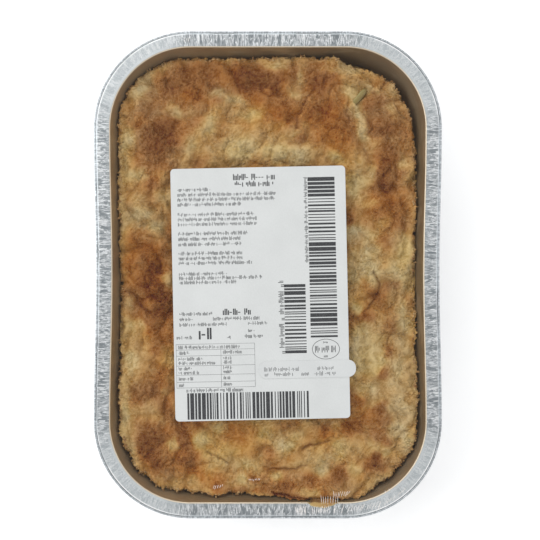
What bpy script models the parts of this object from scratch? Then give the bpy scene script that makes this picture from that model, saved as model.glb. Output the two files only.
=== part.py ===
# Potato gratin in a smooth foil tray, sealed under clear film, with a paper label on the film.
# Metres, +Z up, origin at the middle of the tray's underside. +Y is the label's reading direction, upwards.

import math

import bmesh
import bpy
from mathutils import Matrix, Vector, noise

# Foil tray, measured over the rim
TRAY_LENGTH = 0.252
TRAY_WIDTH = 0.180
TRAY_HEIGHT = 0.046
TRAY_CORNER_RADIUS = 0.050
LONG_SIDE_BOW = 0.0012
FOIL = 0.0005
RIM_BEAD_RADIUS = 0.00065
RIM_GROOVE_WIDTH = 0.0006
RIM_STEP = 0.0009
SEAL_BAND_WIDTH = 0.0060
WALL_BEND_RADIUS = 0.0009
WALL_DRAFT = math.radians(12)
FLOOR_RADIUS = 0.008

# Food: FOOD_LEVEL is the height of the crust's hollows, SIDE_TOP that of its drawn-back sides
FOOD_LEVEL = 0.0380
SIDE_TOP = 0.0280
FOOD_WALL_GAP = 0.0006
CRUST_PULL_AWAY = 0.0007
CRUST_RAGGED = 0.0012
CRUST_EDGE_RADIUS = 0.0034
CRUST_EDGE_DROP = 0.0028
EDGE_REACH = 0.016
CELL = 0.0036
EDGE_CELLS = (0.0008, 0.0021, 0.0042)

# Crust relief as (size of a swelling, height, noise seed)
BROAD_RELIEF = (0.040, 0.0018, 1.7)
PUFF_RELIEF = (0.0125, 0.0052, 7.3)
GRAIN_RELIEF = (0.0056, 0.0007, 2.9)
PUFF_WARP = (0.017, 0.0045, 4.1)

# Pieces that rest on each other keep this gap
REST_GAP = 0.0003
FILM_THICKNESS = 0.0002
PAPER_THICKNESS = 0.0002

# Paper label and the narrow lot sticker that runs over its right edge
LABEL_WIDTH = 0.090
LABEL_LENGTH = 0.130
LABEL_CORNER_RADIUS = 0.0020
LABEL_CENTRE = (-0.0039, -0.0096)
PAPER_TURN = math.radians(1.2)
STICKER_LENGTH = 0.0501
STICKER_WIDTH = 0.0089
STICKER_CENTRE = (0.0203, -0.0485)

# Potato slice whose edge stands out of the crust
SLICE_LENGTH = 0.0112
SLICE_WIDTH = 0.0034
SLICE_HEIGHT = 0.0028
SLICE_CENTRE = (0.0479, 0.0930)
SLICE_TURN = math.radians(50)
SLICE_ROUNDNESS = 0.62
SLICE_HOLLOW = (0.0060, 0.0085, 0.0016)

# Rounds of the outlines
CORNER_STEPS = 10
LONG_SIDE_STEPS = 6
SHORT_SIDE_STEPS = 2

RIM_INSET = 2 * RIM_BEAD_RADIUS
BAND_START = RIM_INSET + RIM_GROOVE_WIDTH
BAND_END = BAND_START + SEAL_BAND_WIDTH
WALL_SLOPE = math.tan(WALL_DRAFT)

# Swollen parts of the crust: x, y, half width, half length, turn in degrees, height
SWELLS = (
    (-0.058, 0.073, 0.012, 0.010, 35, 0.0018),
    (-0.052, 0.098, 0.006, 0.008, 0, 0.0009),
    (-0.010, 0.104, 0.013, 0.007, -10, 0.0013),
    (0.013, 0.088, 0.009, 0.009, 0, 0.0015),
    (0.033, 0.078, 0.013, 0.016, 15, 0.0027),
    (0.037, 0.106, 0.009, 0.006, -20, 0.0013),
    (0.063, 0.075, 0.008, 0.018, -10, 0.0019),
    (0.064, 0.028, 0.008, 0.013, 15, 0.0012),
    (0.060, -0.008, 0.009, 0.012, -10, 0.0016),
    (0.062, -0.050, 0.008, 0.011, 25, 0.0014),
    (0.056, -0.090, 0.010, 0.009, 0, 0.0016),
    (0.006, -0.092, 0.016, 0.008, 14, 0.0016),
    (-0.036, -0.098, 0.012, 0.009, -15, 0.0015),
    (-0.062, -0.089, 0.009, 0.015, -8, 0.0016),
    (-0.066, -0.055, 0.007, 0.012, 10, 0.0015),
    (-0.066, -0.004, 0.008, 0.012, -20, 0.0014),
    (-0.068, 0.040, 0.006, 0.011, 5, 0.0012),
)
# Folds where the crust has split or lapped over: the points of a line, half width, depth
FOLDS = (
    (((0.001, -0.1024), (0.014, -0.1014), (0.0196, -0.0988)), 0.0022, 0.0015),
    (((0.018, -0.0911), (0.026, -0.0885), (0.0325, -0.0875)), 0.0022, 0.0016),
    (((-0.0716, -0.0097), (-0.0685, -0.0159), (-0.0629, -0.0203)), 0.0024, 0.0016),
    (((0.0440, 0.0850), (0.0480, 0.0720), (0.0540, 0.0560)), 0.0030, 0.0018),
    (((0.0200, 0.1000), (0.0260, 0.0960), (0.0300, 0.1020)), 0.0024, 0.0014),
    (((0.0600, -0.0050), (0.0560, -0.0140), (0.0500, -0.0230)), 0.0022, 0.0014),
    (((-0.0720, 0.0290), (-0.0640, 0.0265), (-0.0560, 0.0240)), 0.0026, 0.0013),
)
# Where the crust's edge stands further from the wall or closer: x, y, half sizes, turn, distance
EDGE_CHANGES = (
    (0.0660, 0.0980, 0.016, 0.028, 45, 0.0042),
    (0.0430, 0.1120, 0.011, 0.011, 0, 0.0022),
    (0.0760, 0.0600, 0.012, 0.026, 0, 0.0012),
    (0.0780, -0.0100, 0.012, 0.070, 0, 0.0014),
    (-0.0150, 0.1180, 0.042, 0.012, 0, 0.0010),
    (-0.0780, -0.0500, 0.012, 0.034, 0, 0.0012),
    (-0.0660, -0.0980, 0.014, 0.022, 45, 0.0009),
    (-0.0350, -0.1180, 0.034, 0.012, 0, 0.0009),
    (0.0660, -0.0980, 0.014, 0.022, -45, 0.0014),
    (0.0310, -0.1160, 0.016, 0.012, 0, -0.0020),
)
CLOSEST_EDGE = 0.0005
# The food bulges against the film here: x, y, half width, half length, turn, height
BULGE = (0.0310, -0.1130, 0.019, 0.012, 0, 0.0064)
FRONT_RISE = 0.0014
SOFT_CEILING = 0.0016


def remove_startup_objects():
    for item in list(bpy.data.objects):
        bpy.data.objects.remove(item, do_unlink=True)


def material(name, colour, roughness, metallic=0.0, alpha=1.0):
    made = bpy.data.materials.new(name)
    made.use_nodes = True
    shader = made.node_tree.nodes["Principled BSDF"]
    shader.inputs["Base Color"].default_value = (*colour, 1.0)
    shader.inputs["Roughness"].default_value = roughness
    shader.inputs["Metallic"].default_value = metallic
    shader.inputs["Alpha"].default_value = alpha
    return made


def new_object(name, mesh_data, surface):
    made = bpy.data.objects.new(name, mesh_data)
    made.data.materials.append(surface)
    bpy.context.scene.collection.objects.link(made)
    return made


def side_bow(y, inset):
    """How far the long sides bend inwards at this y."""
    straight = TRAY_LENGTH / 2 - TRAY_CORNER_RADIUS
    reach = min(abs(y) / (straight + 0.2 * inset), 1.0)
    return LONG_SIDE_BOW * math.cos(math.pi / 2 * reach) ** 2


def tray_outline(inset):
    """Corner points of the rim's outline moved inwards, anticlockwise seen from above."""
    half_x = TRAY_WIDTH / 2 - TRAY_CORNER_RADIUS
    half_y = TRAY_LENGTH / 2 - TRAY_CORNER_RADIUS
    radius = TRAY_CORNER_RADIUS - inset
    points = []
    for quarter, (sign_x, sign_y) in enumerate(((1, 1), (-1, 1), (-1, -1), (1, -1))):
        centre = Vector((sign_x * half_x, sign_y * half_y))
        for step in range(CORNER_STEPS + 1):
            angle = math.pi / 2 * (quarter + step / CORNER_STEPS)
            points.append(centre + radius * Vector((math.cos(angle), math.sin(angle))))
        end = points[-1]
        along_y = quarter % 2 == 1
        steps = LONG_SIDE_STEPS if along_y else SHORT_SIDE_STEPS
        reach = -2 * end.y if along_y else -2 * end.x
        for step in range(1, steps):
            shift = reach * step / steps
            points.append(end + (Vector((0, shift)) if along_y else Vector((shift, 0))))
    return [Vector((p.x - math.copysign(side_bow(p.y, inset), p.x), p.y)) for p in points]


def arc(centre, radius, start, end, steps):
    """Points (inset, height) on an arc, angles in degrees, with the inset growing to the right."""
    angles = [math.radians(start + (end - start) * i / steps) for i in range(steps + 1)]
    return [
        (centre[0] + radius * math.cos(a), centre[1] + radius * math.sin(a)) for a in angles
    ]


def wall_inset(height):
    """Inset of the tray's inner wall at this height."""
    top = TRAY_HEIGHT - WALL_BEND_RADIUS
    return BAND_END + WALL_BEND_RADIUS + (top - height) * WALL_SLOPE


def tray_section():
    """Closed section of the foil: the food side from the floor up to the rim, then back underneath."""
    outer_bend = WALL_BEND_RADIUS
    steep = 90 - math.degrees(WALL_DRAFT)
    lean = math.degrees(WALL_DRAFT)
    floor_centre_z = FOIL + FLOOR_RADIUS
    floor_centre_u = wall_inset(floor_centre_z) + FLOOR_RADIUS / math.cos(WALL_DRAFT)
    floor_centre = (floor_centre_u, floor_centre_z)
    ledge_z = TRAY_HEIGHT - RIM_STEP
    bead = (RIM_BEAD_RADIUS, ledge_z - FOIL / 2)

    inner = arc(floor_centre, FLOOR_RADIUS, 270, 180 + lean, 4)
    inner += arc((BAND_END, TRAY_HEIGHT - outer_bend), outer_bend, 90 - steep, 90, 3)
    inner += [(BAND_START, TRAY_HEIGHT), (BAND_START - 0.0001, ledge_z)]
    rim = arc(bead, RIM_BEAD_RADIUS, 15, 345, 6)
    under = [(BAND_START + FOIL, ledge_z - FOIL), (BAND_START + FOIL, TRAY_HEIGHT - FOIL)]
    under += [(BAND_END - FOIL / 2, TRAY_HEIGHT - FOIL)]
    under += arc(floor_centre, FLOOR_RADIUS + FOIL, 180 + lean, 270, 4)
    return inner + rim + under


def close_ring(shape, ring, flip):
    face = shape.faces.new(list(reversed(ring)) if flip else ring)
    bmesh.ops.triangulate(shape, faces=[face])


def swept_solid(name, section, surface):
    """A section of (inset, height) points carried round the tray's outline, closed over the middle."""
    shape = bmesh.new()
    rings = []
    for inset, height in section:
        rings.append([shape.verts.new((p.x, p.y, height)) for p in tray_outline(inset)])
    count = len(rings[0])
    for lower, upper in zip(rings, rings[1:]):
        for i in range(count):
            j = (i + 1) % count
            shape.faces.new((lower[i], upper[i], upper[j], lower[j]))
    close_ring(shape, rings[0], False)
    close_ring(shape, rings[-1], True)
    bmesh.ops.recalc_face_normals(shape, faces=shape.faces)
    return finished(name, shape, surface)


def finished(name, shape, surface, sharp_angle=35):
    made = bpy.data.meshes.new(name)
    shape.to_mesh(made)
    shape.free()
    made.shade_smooth()
    made.set_sharp_from_angle(angle=math.radians(sharp_angle))
    return new_object(name, made, surface)


def plate(name, outline, base, thickness, surface):
    """A thin flat sheet of the outline's shape."""
    shape = bmesh.new()
    lower = [shape.verts.new((x, y, base)) for x, y in outline]
    upper = [shape.verts.new((x, y, base + thickness)) for x, y in outline]
    shape.faces.new(list(reversed(lower)))
    shape.faces.new(upper)
    for i in range(len(outline)):
        j = (i + 1) % len(outline)
        shape.faces.new((lower[i], lower[j], upper[j], upper[i]))
    return finished(name, shape, surface)


def rounded_rectangle(width, length, radius, centre, turn, steps=5):
    half_x = width / 2 - radius
    half_y = length / 2 - radius
    points = []
    for quarter, (sign_x, sign_y) in enumerate(((1, 1), (-1, 1), (-1, -1), (1, -1))):
        for step in range(steps + 1):
            angle = math.pi / 2 * (quarter + step / steps)
            x = sign_x * half_x + radius * math.cos(angle)
            y = sign_y * half_y + radius * math.sin(angle)
            points.append(
                (
                    centre[0] + x * math.cos(turn) - y * math.sin(turn),
                    centre[1] + x * math.sin(turn) + y * math.cos(turn),
                )
            )
    return points


def hill(x, y, centre_x, centre_y, half_x, half_y, turn):
    """1 in the middle of an oval, falling smoothly to 0 past its edge."""
    angle = math.radians(turn)
    dx, dy = x - centre_x, y - centre_y
    across = (dx * math.cos(angle) + dy * math.sin(angle)) / half_x
    along = (dy * math.cos(angle) - dx * math.sin(angle)) / half_y
    return math.exp(-(across * across + along * along))


def distance_to_line(x, y, line):
    """Distance from a point to a line of several corners."""
    point = Vector((x, y))
    nearest = math.inf
    for start, end in zip(line, line[1:]):
        start, run = Vector(start), Vector(end) - Vector(start)
        share = max(0.0, min(1.0, (point - start).dot(run) / run.length_squared))
        nearest = min(nearest, (point - start - run * share).length)
    return nearest


def relief(x, y, kind):
    size, height, seed = kind
    return noise.noise(Vector((x / size, y / size, seed))) * height


def under_film(height):
    """Bends heights that come near the film softly to just under it."""
    top = TRAY_HEIGHT - REST_GAP
    knee = top - SOFT_CEILING
    if height < knee:
        return height
    return knee + SOFT_CEILING * math.tanh((height - knee) / SOFT_CEILING)


def crust_height(x, y):
    """Height of the crust over the tray's underside, away from its edge."""
    warp = relief(x, y, PUFF_WARP)
    height = FOOD_LEVEL + relief(x, y, BROAD_RELIEF) + relief(x, y, GRAIN_RELIEF)
    height += abs(relief(x + warp, y - warp, PUFF_RELIEF))
    for centre_x, centre_y, half_x, half_y, turn, rise in SWELLS:
        height += rise * hill(x, y, centre_x, centre_y, half_x, half_y, turn)
    for line, half_width, depth in FOLDS:
        height -= depth * math.exp(-((distance_to_line(x, y, line) / half_width) ** 2))
    hollow_x, hollow_y, depth = SLICE_HOLLOW
    height -= depth * hill(x, y, *SLICE_CENTRE, hollow_y, hollow_x, math.degrees(SLICE_TURN))
    height += FRONT_RISE * max(0.0, -y / (TRAY_LENGTH / 2))
    return under_film(height + BULGE[5] * hill(x, y, *BULGE[:5]))


def edge_gap(x, y):
    """Distance between the tray's wall and the crust's uneven edge."""
    ragged = abs(noise.noise(Vector((x / 0.006, y / 0.006, 9.2)))) * CRUST_RAGGED
    gap = CRUST_PULL_AWAY + ragged
    for centre_x, centre_y, half_x, half_y, turn, more in EDGE_CHANGES:
        gap += more * hill(x, y, centre_x, centre_y, half_x, half_y, turn)
    return max(gap, CLOSEST_EDGE)


def grid_lines(half):
    """Grid positions from -half to half: fine cells at both edges and even ones between."""
    inner = half - EDGE_CELLS[-1]
    cells = 2 * round(inner / CELL)
    even = [-inner + 2 * inner * i / cells for i in range(cells + 1)]
    fine = [half - step for step in reversed((0.0, *EDGE_CELLS[:-1]))]
    return [-f for f in reversed(fine)] + even + fine


class FoodOutline:
    """The food's outline at a given inset from the rim: a rectangle with round corners."""

    def __init__(self, inset):
        self.inset = inset
        self.half_x = TRAY_WIDTH / 2 - inset
        self.half_y = TRAY_LENGTH / 2 - inset
        self.radius = TRAY_CORNER_RADIUS - inset

    def past_corner_centre(self, x, y):
        """How far a point lies outwards of the middles of the corner rounds."""
        out_x = max(abs(x) - (self.half_x - self.radius), 0.0)
        out_y = max(abs(y) - (self.half_y - self.radius), 0.0)
        return Vector((math.copysign(out_x, x), math.copysign(out_y, y)))

    def from_rectangle(self, x, y):
        """Moves a point of the square-cornered rectangle into the rounded one."""
        out = self.past_corner_centre(x, y)
        if out.x and out.y:
            pull = max(abs(out.x), abs(out.y)) / out.length
            x, y = x - out.x * (1 - pull), y - out.y * (1 - pull)
        return x, y

    def bowed(self, x, y):
        """Bends the long sides inwards as the tray's are."""
        return x - side_bow(y, self.inset) * x / self.half_x, y


def crust_point(outline, line_x, line_y):
    """Point of the crust's top surface for one place on the grid."""
    x, y = outline.from_rectangle(line_x, line_y)
    out = outline.past_corner_centre(x, y)
    from_edge = outline.radius - out.length
    rounding = max(0.0, 1 - from_edge / CRUST_EDGE_RADIUS)
    drop = CRUST_EDGE_DROP * (1 - math.sqrt(max(0.0, 1 - rounding * rounding)))
    z = crust_height(x, y) - drop * (1 - 0.5 * hill(x, y, *BULGE[:5]))
    fade = max(0.0, 1 - from_edge / EDGE_REACH)
    if fade > 0:
        inwards = (edge_gap(x, y) + (FOOD_LEVEL - z) * WALL_SLOPE) * fade
        x, y = x - out.x / out.length * inwards, y - out.y / out.length * inwards
    return *outline.bowed(x, y), z


def side_rings():
    """(height, inset from the rim) of the rings below the crust's edge, from the top down."""
    floor = FOIL + REST_GAP
    return (
        (SIDE_TOP, wall_inset(SIDE_TOP) + FOOD_WALL_GAP),
        (floor + FLOOR_RADIUS, wall_inset(floor + FLOOR_RADIUS) + FOOD_WALL_GAP),
        (floor + 0.30 * FLOOR_RADIUS, wall_inset(floor) + FOOD_WALL_GAP + 0.28 * FLOOR_RADIUS),
        (floor, wall_inset(floor) + FOOD_WALL_GAP + 0.95 * FLOOR_RADIUS),
    )


def gratin(surface):
    """One solid: browned top with its swells and folds, sides drawn back from the wall, flat base."""
    outline = FoodOutline(wall_inset(FOOD_LEVEL))
    lines_x, lines_y = grid_lines(outline.half_x), grid_lines(outline.half_y)
    last_x, last_y = len(lines_x) - 1, len(lines_y) - 1
    shape = bmesh.new()
    grid = {
        (i, j): shape.verts.new(crust_point(outline, lines_x[i], lines_y[j]))
        for i in range(last_x + 1)
        for j in range(last_y + 1)
    }
    for i in range(last_x):
        for j in range(last_y):
            shape.faces.new((grid[i, j], grid[i + 1, j], grid[i + 1, j + 1], grid[i, j + 1]))
    edge = [(i, 0) for i in range(last_x)]
    edge += [(last_x, j) for j in range(last_y)]
    edge += [(i, last_y) for i in range(last_x, 0, -1)]
    edge += [(0, j) for j in range(last_y, 0, -1)]
    upper = [grid[key] for key in edge]
    for height, inset in side_rings():
        level = FoodOutline(inset)
        ring = []
        for i, j in edge:
            share_x, share_y = lines_x[i] / outline.half_x, lines_y[j] / outline.half_y
            place = level.from_rectangle(share_x * level.half_x, share_y * level.half_y)
            ring.append(shape.verts.new((*level.bowed(*place), height)))
        for i in range(len(ring)):
            j = (i + 1) % len(ring)
            shape.faces.new((upper[i], ring[i], ring[j], upper[j]))
        upper = ring
    close_ring(shape, upper, True)
    bmesh.ops.triangulate(shape, faces=shape.faces)
    bmesh.ops.recalc_face_normals(shape, faces=shape.faces)
    return finished("gratin", shape, surface, sharp_angle=70)


def slice_shape(name, swell, surface):
    """A rounded bar: the edge of a potato slice, lying in a hollow of the crust."""
    shape = bmesh.new()
    bmesh.ops.create_uvsphere(shape, u_segments=14, v_segments=8, radius=1.0)
    size = Vector((SLICE_LENGTH, SLICE_WIDTH, SLICE_HEIGHT)) / 2
    for vert in shape.verts:
        for axis in range(3):
            blunt = math.copysign(abs(vert.co[axis]) ** SLICE_ROUNDNESS, vert.co[axis])
            vert.co[axis] = blunt * (size[axis] + swell)
    base = crust_height(*SLICE_CENTRE) + SLICE_HEIGHT * 0.10
    place = Matrix.Translation((*SLICE_CENTRE, base)) @ Matrix.Rotation(SLICE_TURN, 4, "Z")
    bmesh.ops.transform(shape, matrix=place, verts=shape.verts)
    return finished(name, shape, surface)


def cut_seat(solid, cutter):
    cutter.hide_render = True
    cutter.display_type = "WIRE"
    seat = solid.modifiers.new("slice_seat", "BOOLEAN")
    seat.operation = "DIFFERENCE"
    seat.solver = "EXACT"
    seat.object = cutter


def build():
    remove_startup_objects()
    foil = material("foil", (0.78, 0.80, 0.81), 0.32, metallic=1.0)
    crust = material("baked_crust", (0.52, 0.30, 0.12), 0.62)
    potato = material("potato_flesh", (0.33, 0.28, 0.10), 0.5)
    film = material("clear_film", (0.95, 0.96, 0.97), 0.08, alpha=0.2)
    paper = material("label_paper", (0.82, 0.83, 0.83), 0.55)

    swept_solid("tray", tray_section(), foil)
    food = gratin(crust)
    slice_shape("potato_slice", 0.0, potato)
    cut_seat(food, slice_shape("slice_cutter", REST_GAP, potato))

    film_base = TRAY_HEIGHT + REST_GAP
    film_edge = [(p.x, p.y) for p in tray_outline(BAND_START + 0.0001)]
    plate("lid_film", film_edge, film_base, FILM_THICKNESS, film)
    label_base = film_base + FILM_THICKNESS + REST_GAP
    label_edge = rounded_rectangle(
        LABEL_WIDTH, LABEL_LENGTH, LABEL_CORNER_RADIUS, LABEL_CENTRE, PAPER_TURN
    )
    plate("label", label_edge, label_base, PAPER_THICKNESS, paper)
    sticker_base = label_base + PAPER_THICKNESS + REST_GAP
    sticker_edge = rounded_rectangle(
        STICKER_LENGTH, STICKER_WIDTH, 0.46 * STICKER_WIDTH, STICKER_CENTRE, PAPER_TURN
    )
    plate("lot_sticker", sticker_edge, sticker_base, PAPER_THICKNESS, paper)


build()
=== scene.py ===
import math
import random

import bmesh
import bpy
import numpy as np
from mathutils import Matrix, Vector, noise


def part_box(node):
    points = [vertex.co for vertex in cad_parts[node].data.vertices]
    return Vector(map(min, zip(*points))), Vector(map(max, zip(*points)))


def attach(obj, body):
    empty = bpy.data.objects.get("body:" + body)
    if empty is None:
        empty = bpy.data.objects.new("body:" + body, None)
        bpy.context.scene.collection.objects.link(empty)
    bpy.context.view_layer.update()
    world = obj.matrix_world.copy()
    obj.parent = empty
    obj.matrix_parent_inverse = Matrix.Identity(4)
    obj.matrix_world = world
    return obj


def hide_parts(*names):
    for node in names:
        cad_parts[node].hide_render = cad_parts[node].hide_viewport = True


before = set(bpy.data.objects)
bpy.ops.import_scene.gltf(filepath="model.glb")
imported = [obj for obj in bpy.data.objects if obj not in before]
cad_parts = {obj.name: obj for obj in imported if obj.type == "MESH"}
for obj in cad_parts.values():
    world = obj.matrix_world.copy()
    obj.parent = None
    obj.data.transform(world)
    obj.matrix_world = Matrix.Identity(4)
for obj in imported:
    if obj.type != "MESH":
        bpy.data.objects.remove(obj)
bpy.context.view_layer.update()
print("frame loaded")

mm = 0.001
trayLow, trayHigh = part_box("tray")
foodLow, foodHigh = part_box("gratin")
filmLow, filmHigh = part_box("lid_film")
labelLow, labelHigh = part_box("label")
stickerLow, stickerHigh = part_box("lot_sticker")
sliceLow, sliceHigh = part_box("potato_slice")
labelCentre = (labelLow + labelHigh) / 2
stickerCentre = (stickerLow + stickerHigh) / 2


# Node boards: a wire is a socket that can be added, subtracted, multiplied and divided
class Wire:
    def __init__(self, board, socket):
        self.board = board
        self.socket = socket

    def __add__(self, other):
        return self.board.maths("ADD", self, other)

    def __radd__(self, other):
        return self.board.maths("ADD", other, self)

    def __sub__(self, other):
        return self.board.maths("SUBTRACT", self, other)

    def __rsub__(self, other):
        return self.board.maths("SUBTRACT", other, self)

    def __mul__(self, other):
        return self.board.maths("MULTIPLY", self, other)

    def __rmul__(self, other):
        return self.board.maths("MULTIPLY", other, self)

    def __truediv__(self, other):
        return self.board.maths("DIVIDE", self, other)

    def __rtruediv__(self, other):
        return self.board.maths("DIVIDE", other, self)


class Board:
    def __init__(self, tree):
        self.tree = tree

    def node(self, kind, settings=None, sockets=None):
        made = self.tree.nodes.new(kind)
        for name, value in (settings or {}).items():
            if name == "stops":
                self.setStops(made.color_ramp, value)
            else:
                setattr(made, name, value)
        for key, value in (sockets or {}).items():
            self.feed(made.inputs[key], value)
        return made

    def setStops(self, ramp, stops):
        while len(ramp.elements) < len(stops):
            ramp.elements.new(1.0)
        for element, (position, colour) in zip(ramp.elements, stops):
            element.position = position
            element.color = (*colour, 1.0)

    def feed(self, socket, value):
        if isinstance(value, Wire):
            self.tree.links.new(value.socket, socket)
        elif isinstance(value, bpy.types.Node):
            self.tree.links.new(value.outputs[0], socket)
        elif socket.type == "RGBA" and len(value) == 3:
            socket.default_value = (*value, 1.0)
        else:
            socket.default_value = value

    def out(self, node, key=0):
        return Wire(self, node.outputs[key])

    def maths(self, operation, *values):
        return self.out(self.node("ShaderNodeMath", {"operation": operation}, dict(enumerate(values))))

    def clamp(self, value):
        return self.out(self.node("ShaderNodeClamp", None, {0: value}))

    def between(self, value, low, high):
        # 0 below low, 1 above high, smooth in between
        settings = {"interpolation_type": "SMOOTHSTEP"}
        return self.out(self.node("ShaderNodeMapRange", settings, {0: value, 1: low, 2: high}))

    def vector(self, operation, *values):
        made = self.node("ShaderNodeVectorMath", {"operation": operation})
        for socket, value in zip((s for s in made.inputs if s.enabled), values):
            self.feed(socket, value)
        return self.out(made)


class Paint(Board):
    # a material's node tree
    def __init__(self, name):
        self.material = bpy.data.materials.new(name)
        self.material.use_nodes = True
        super().__init__(self.material.node_tree)
        self.tree.nodes.clear()

    def place(self):
        return self.out(self.node("ShaderNodeTexCoord"), "Object")

    def stretched(self, place, scale):
        return self.vector("MULTIPLY", place, scale)

    def grain(self, place, scale, detail=2.0, rough=0.5, distort=0.0):
        sockets = {"Vector": place, "Scale": scale, "Detail": detail, "Roughness": rough}
        sockets["Distortion"] = distort
        return self.out(self.node("ShaderNodeTexNoise", None, sockets))

    def cells(self, place, scale):
        sockets = {"Vector": place, "Scale": scale}
        return self.out(self.node("ShaderNodeTexVoronoi", None, sockets), "Distance")

    def along(self, place, axis):
        # one coordinate of a place: 0, 1 or 2 for x, y or z
        return self.out(self.node("ShaderNodeSeparateXYZ", None, {0: place}), axis)

    def ridge(self, pattern, width):
        # 1 along the middle value of a pattern, falling to 0 at the width to both sides
        return self.between(self.maths("ABSOLUTE", pattern - 0.5), width, 0.0)

    def attribute(self, name, key="Fac"):
        return self.out(self.node("ShaderNodeAttribute", {"attribute_name": name}), key)

    def mix(self, factor, first, second, blend="MIX"):
        settings = {"data_type": "RGBA", "blend_type": blend}
        return self.out(self.node("ShaderNodeMix", settings, {0: factor, 6: first, 7: second}), 2)

    def ramp(self, factor, stops):
        return self.out(self.node("ShaderNodeValToRGB", {"stops": stops}, {0: factor}))

    def bump(self, height, distance, strength=1.0):
        sockets = {"Height": height, "Distance": distance, "Strength": strength}
        return self.out(self.node("ShaderNodeBump", None, sockets))

    def principled(self, **sockets):
        named = {key.replace("_", " "): value for key, value in sockets.items()}
        return self.out(self.node("ShaderNodeBsdfPrincipled", None, named))

    def finish(self, surface):
        self.node("ShaderNodeOutputMaterial", None, {"Surface": surface})
        return self.material


class Growth(Board):
    # a Geometry Nodes tree with named inputs
    def __init__(self, name, inputs):
        tree = bpy.data.node_groups.new(name, "GeometryNodeTree")
        super().__init__(tree)
        tree.interface.new_socket("Geometry", in_out="INPUT", socket_type="NodeSocketGeometry")
        for label, kind in inputs.items():
            tree.interface.new_socket(label, in_out="INPUT", socket_type="NodeSocket" + kind)
        tree.interface.new_socket("Geometry", in_out="OUTPUT", socket_type="NodeSocketGeometry")
        self.inputs = self.node("NodeGroupInput")

    def given(self, label="Geometry"):
        return self.out(self.inputs, label)

    def named(self, name, kind="FLOAT"):
        sockets = {"Name": name}
        return self.out(self.node("GeometryNodeInputNamedAttribute", {"data_type": kind}, sockets))

    def finish(self, geometry, smooth=True):
        real = self.node("GeometryNodeRealizeInstances", None, {"Geometry": geometry})
        shaded = self.node("GeometryNodeSetShadeSmooth", None, {0: real, "Shade Smooth": smooth})
        painted = self.node(
            "GeometryNodeSetMaterial", None, {"Geometry": shaded, "Material": self.given("Material")}
        )
        self.node("NodeGroupOutput", None, {0: painted})
        return self.tree


def addObject(name, mesh, material=None):
    made = bpy.data.objects.new(name, mesh)
    bpy.context.scene.collection.objects.link(made)
    if material:
        made.data.materials.clear()
        made.data.materials.append(material)
    return made


def grow(name, tree, base, values):
    # runs a tree on a base mesh and keeps the result as a plain mesh
    made = addObject(name, base)
    modifier = made.modifiers.new(tree.name, "NODES")
    modifier.node_group = tree
    for item in tree.interface.items_tree:
        if item.in_out == "INPUT" and item.name in values:
            modifier[item.identifier] = values[item.name]
    graph = bpy.context.evaluated_depsgraph_get()
    grown = bpy.data.meshes.new_from_object(made.evaluated_get(graph), depsgraph=graph)
    made.modifiers.remove(modifier)
    made.data = grown
    grown.name = name
    grown.materials.clear()
    grown.materials.append(values["Material"])
    grown.polygons.foreach_set("material_index", [0] * len(grown.polygons))
    return made


def meshOf(name, points, faces=(), edges=(), smooth=True):
    made = bpy.data.meshes.new(name)
    made.from_pydata([tuple(p) for p in points], list(edges), list(faces))
    if smooth and faces:
        made.shade_smooth()
    made.update()
    return made


def setAttribute(mesh, name, values, kind="FLOAT"):
    layer = mesh.attributes.new(name, kind, "POINT")
    key = "value" if kind == "FLOAT" else "vector"
    layer.data.foreach_set(key, np.asarray(values, dtype=np.float32).ravel())


def relief(x, y, size, seed):
    # Perlin noise on the plane for arrays of points
    flat = zip((x / size).ravel().tolist(), (y / size).ravel().tolist())
    values = [noise.noise(Vector((a, b, seed))) for a, b in flat]
    return np.array(values).reshape(x.shape)


def overOval(x, y, oval):
    # a soft hill of height 1 over an oval: x, y, half width, half length in mm, turn in degrees
    centreX, centreY, halfX, halfY, turn = oval[:5]
    angle = math.radians(turn)
    dx, dy = x - centreX * mm, y - centreY * mm
    across = (dx * math.cos(angle) + dy * math.sin(angle)) / (halfX * mm)
    along = (dy * math.cos(angle) - dx * math.sin(angle)) / (halfY * mm)
    return np.exp(-(across * across + along * along))


def alongLine(x, y, line, halfWidth):
    # the same along a line through corners in mm
    corners = [(cornerX * mm, cornerY * mm) for cornerX, cornerY in line]
    nearest = np.full(x.shape, 1.0)
    for (x0, y0), (x1, y1) in zip(corners, corners[1:]):
        runX, runY = x1 - x0, y1 - y0
        share = ((x - x0) * runX + (y - y0) * runY) / (runX * runX + runY * runY)
        share = np.clip(share, 0.0, 1.0)
        nearest = np.minimum(nearest, np.hypot(x - x0 - share * runX, y - y0 - share * runY))
    return np.exp(-((nearest / (halfWidth * mm)) ** 2))


# Foil tray
foilTray = {
    "width": trayHigh.x - trayLow.x,
    "length": trayHigh.y - trayLow.y,
    "height": trayHigh.z,
    "cornerRadius": 50 * mm,
    "sideBow": 1.2 * mm,
    "foil": 0.5 * mm,
    "beadRadius": 0.65 * mm,
    "grooveWidth": 0.25 * mm,
    "rimStep": 0.9 * mm,
    "bandWidth": 6.35 * mm,
    "bendRadius": 0.9 * mm,
    "draft": math.radians(12),
    "floorRadius": 8 * mm,
    "pathSpacing": 0.66 * mm,
    "pleatHeight": 0.12 * mm,
    "pleatSpacing": 1.4 * mm,
    "dentHeight": 0.7 * mm,
    "dentSize": 30 * mm,
}
bandStart = 2 * foilTray["beadRadius"] + foilTray["grooveWidth"]
bandEnd = bandStart + foilTray["bandWidth"]
wallSlope = math.tan(foilTray["draft"])


def wallInset(height):
    top = foilTray["height"] - foilTray["bendRadius"]
    return bandEnd + foilTray["bendRadius"] + (top - height) * wallSlope


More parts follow.
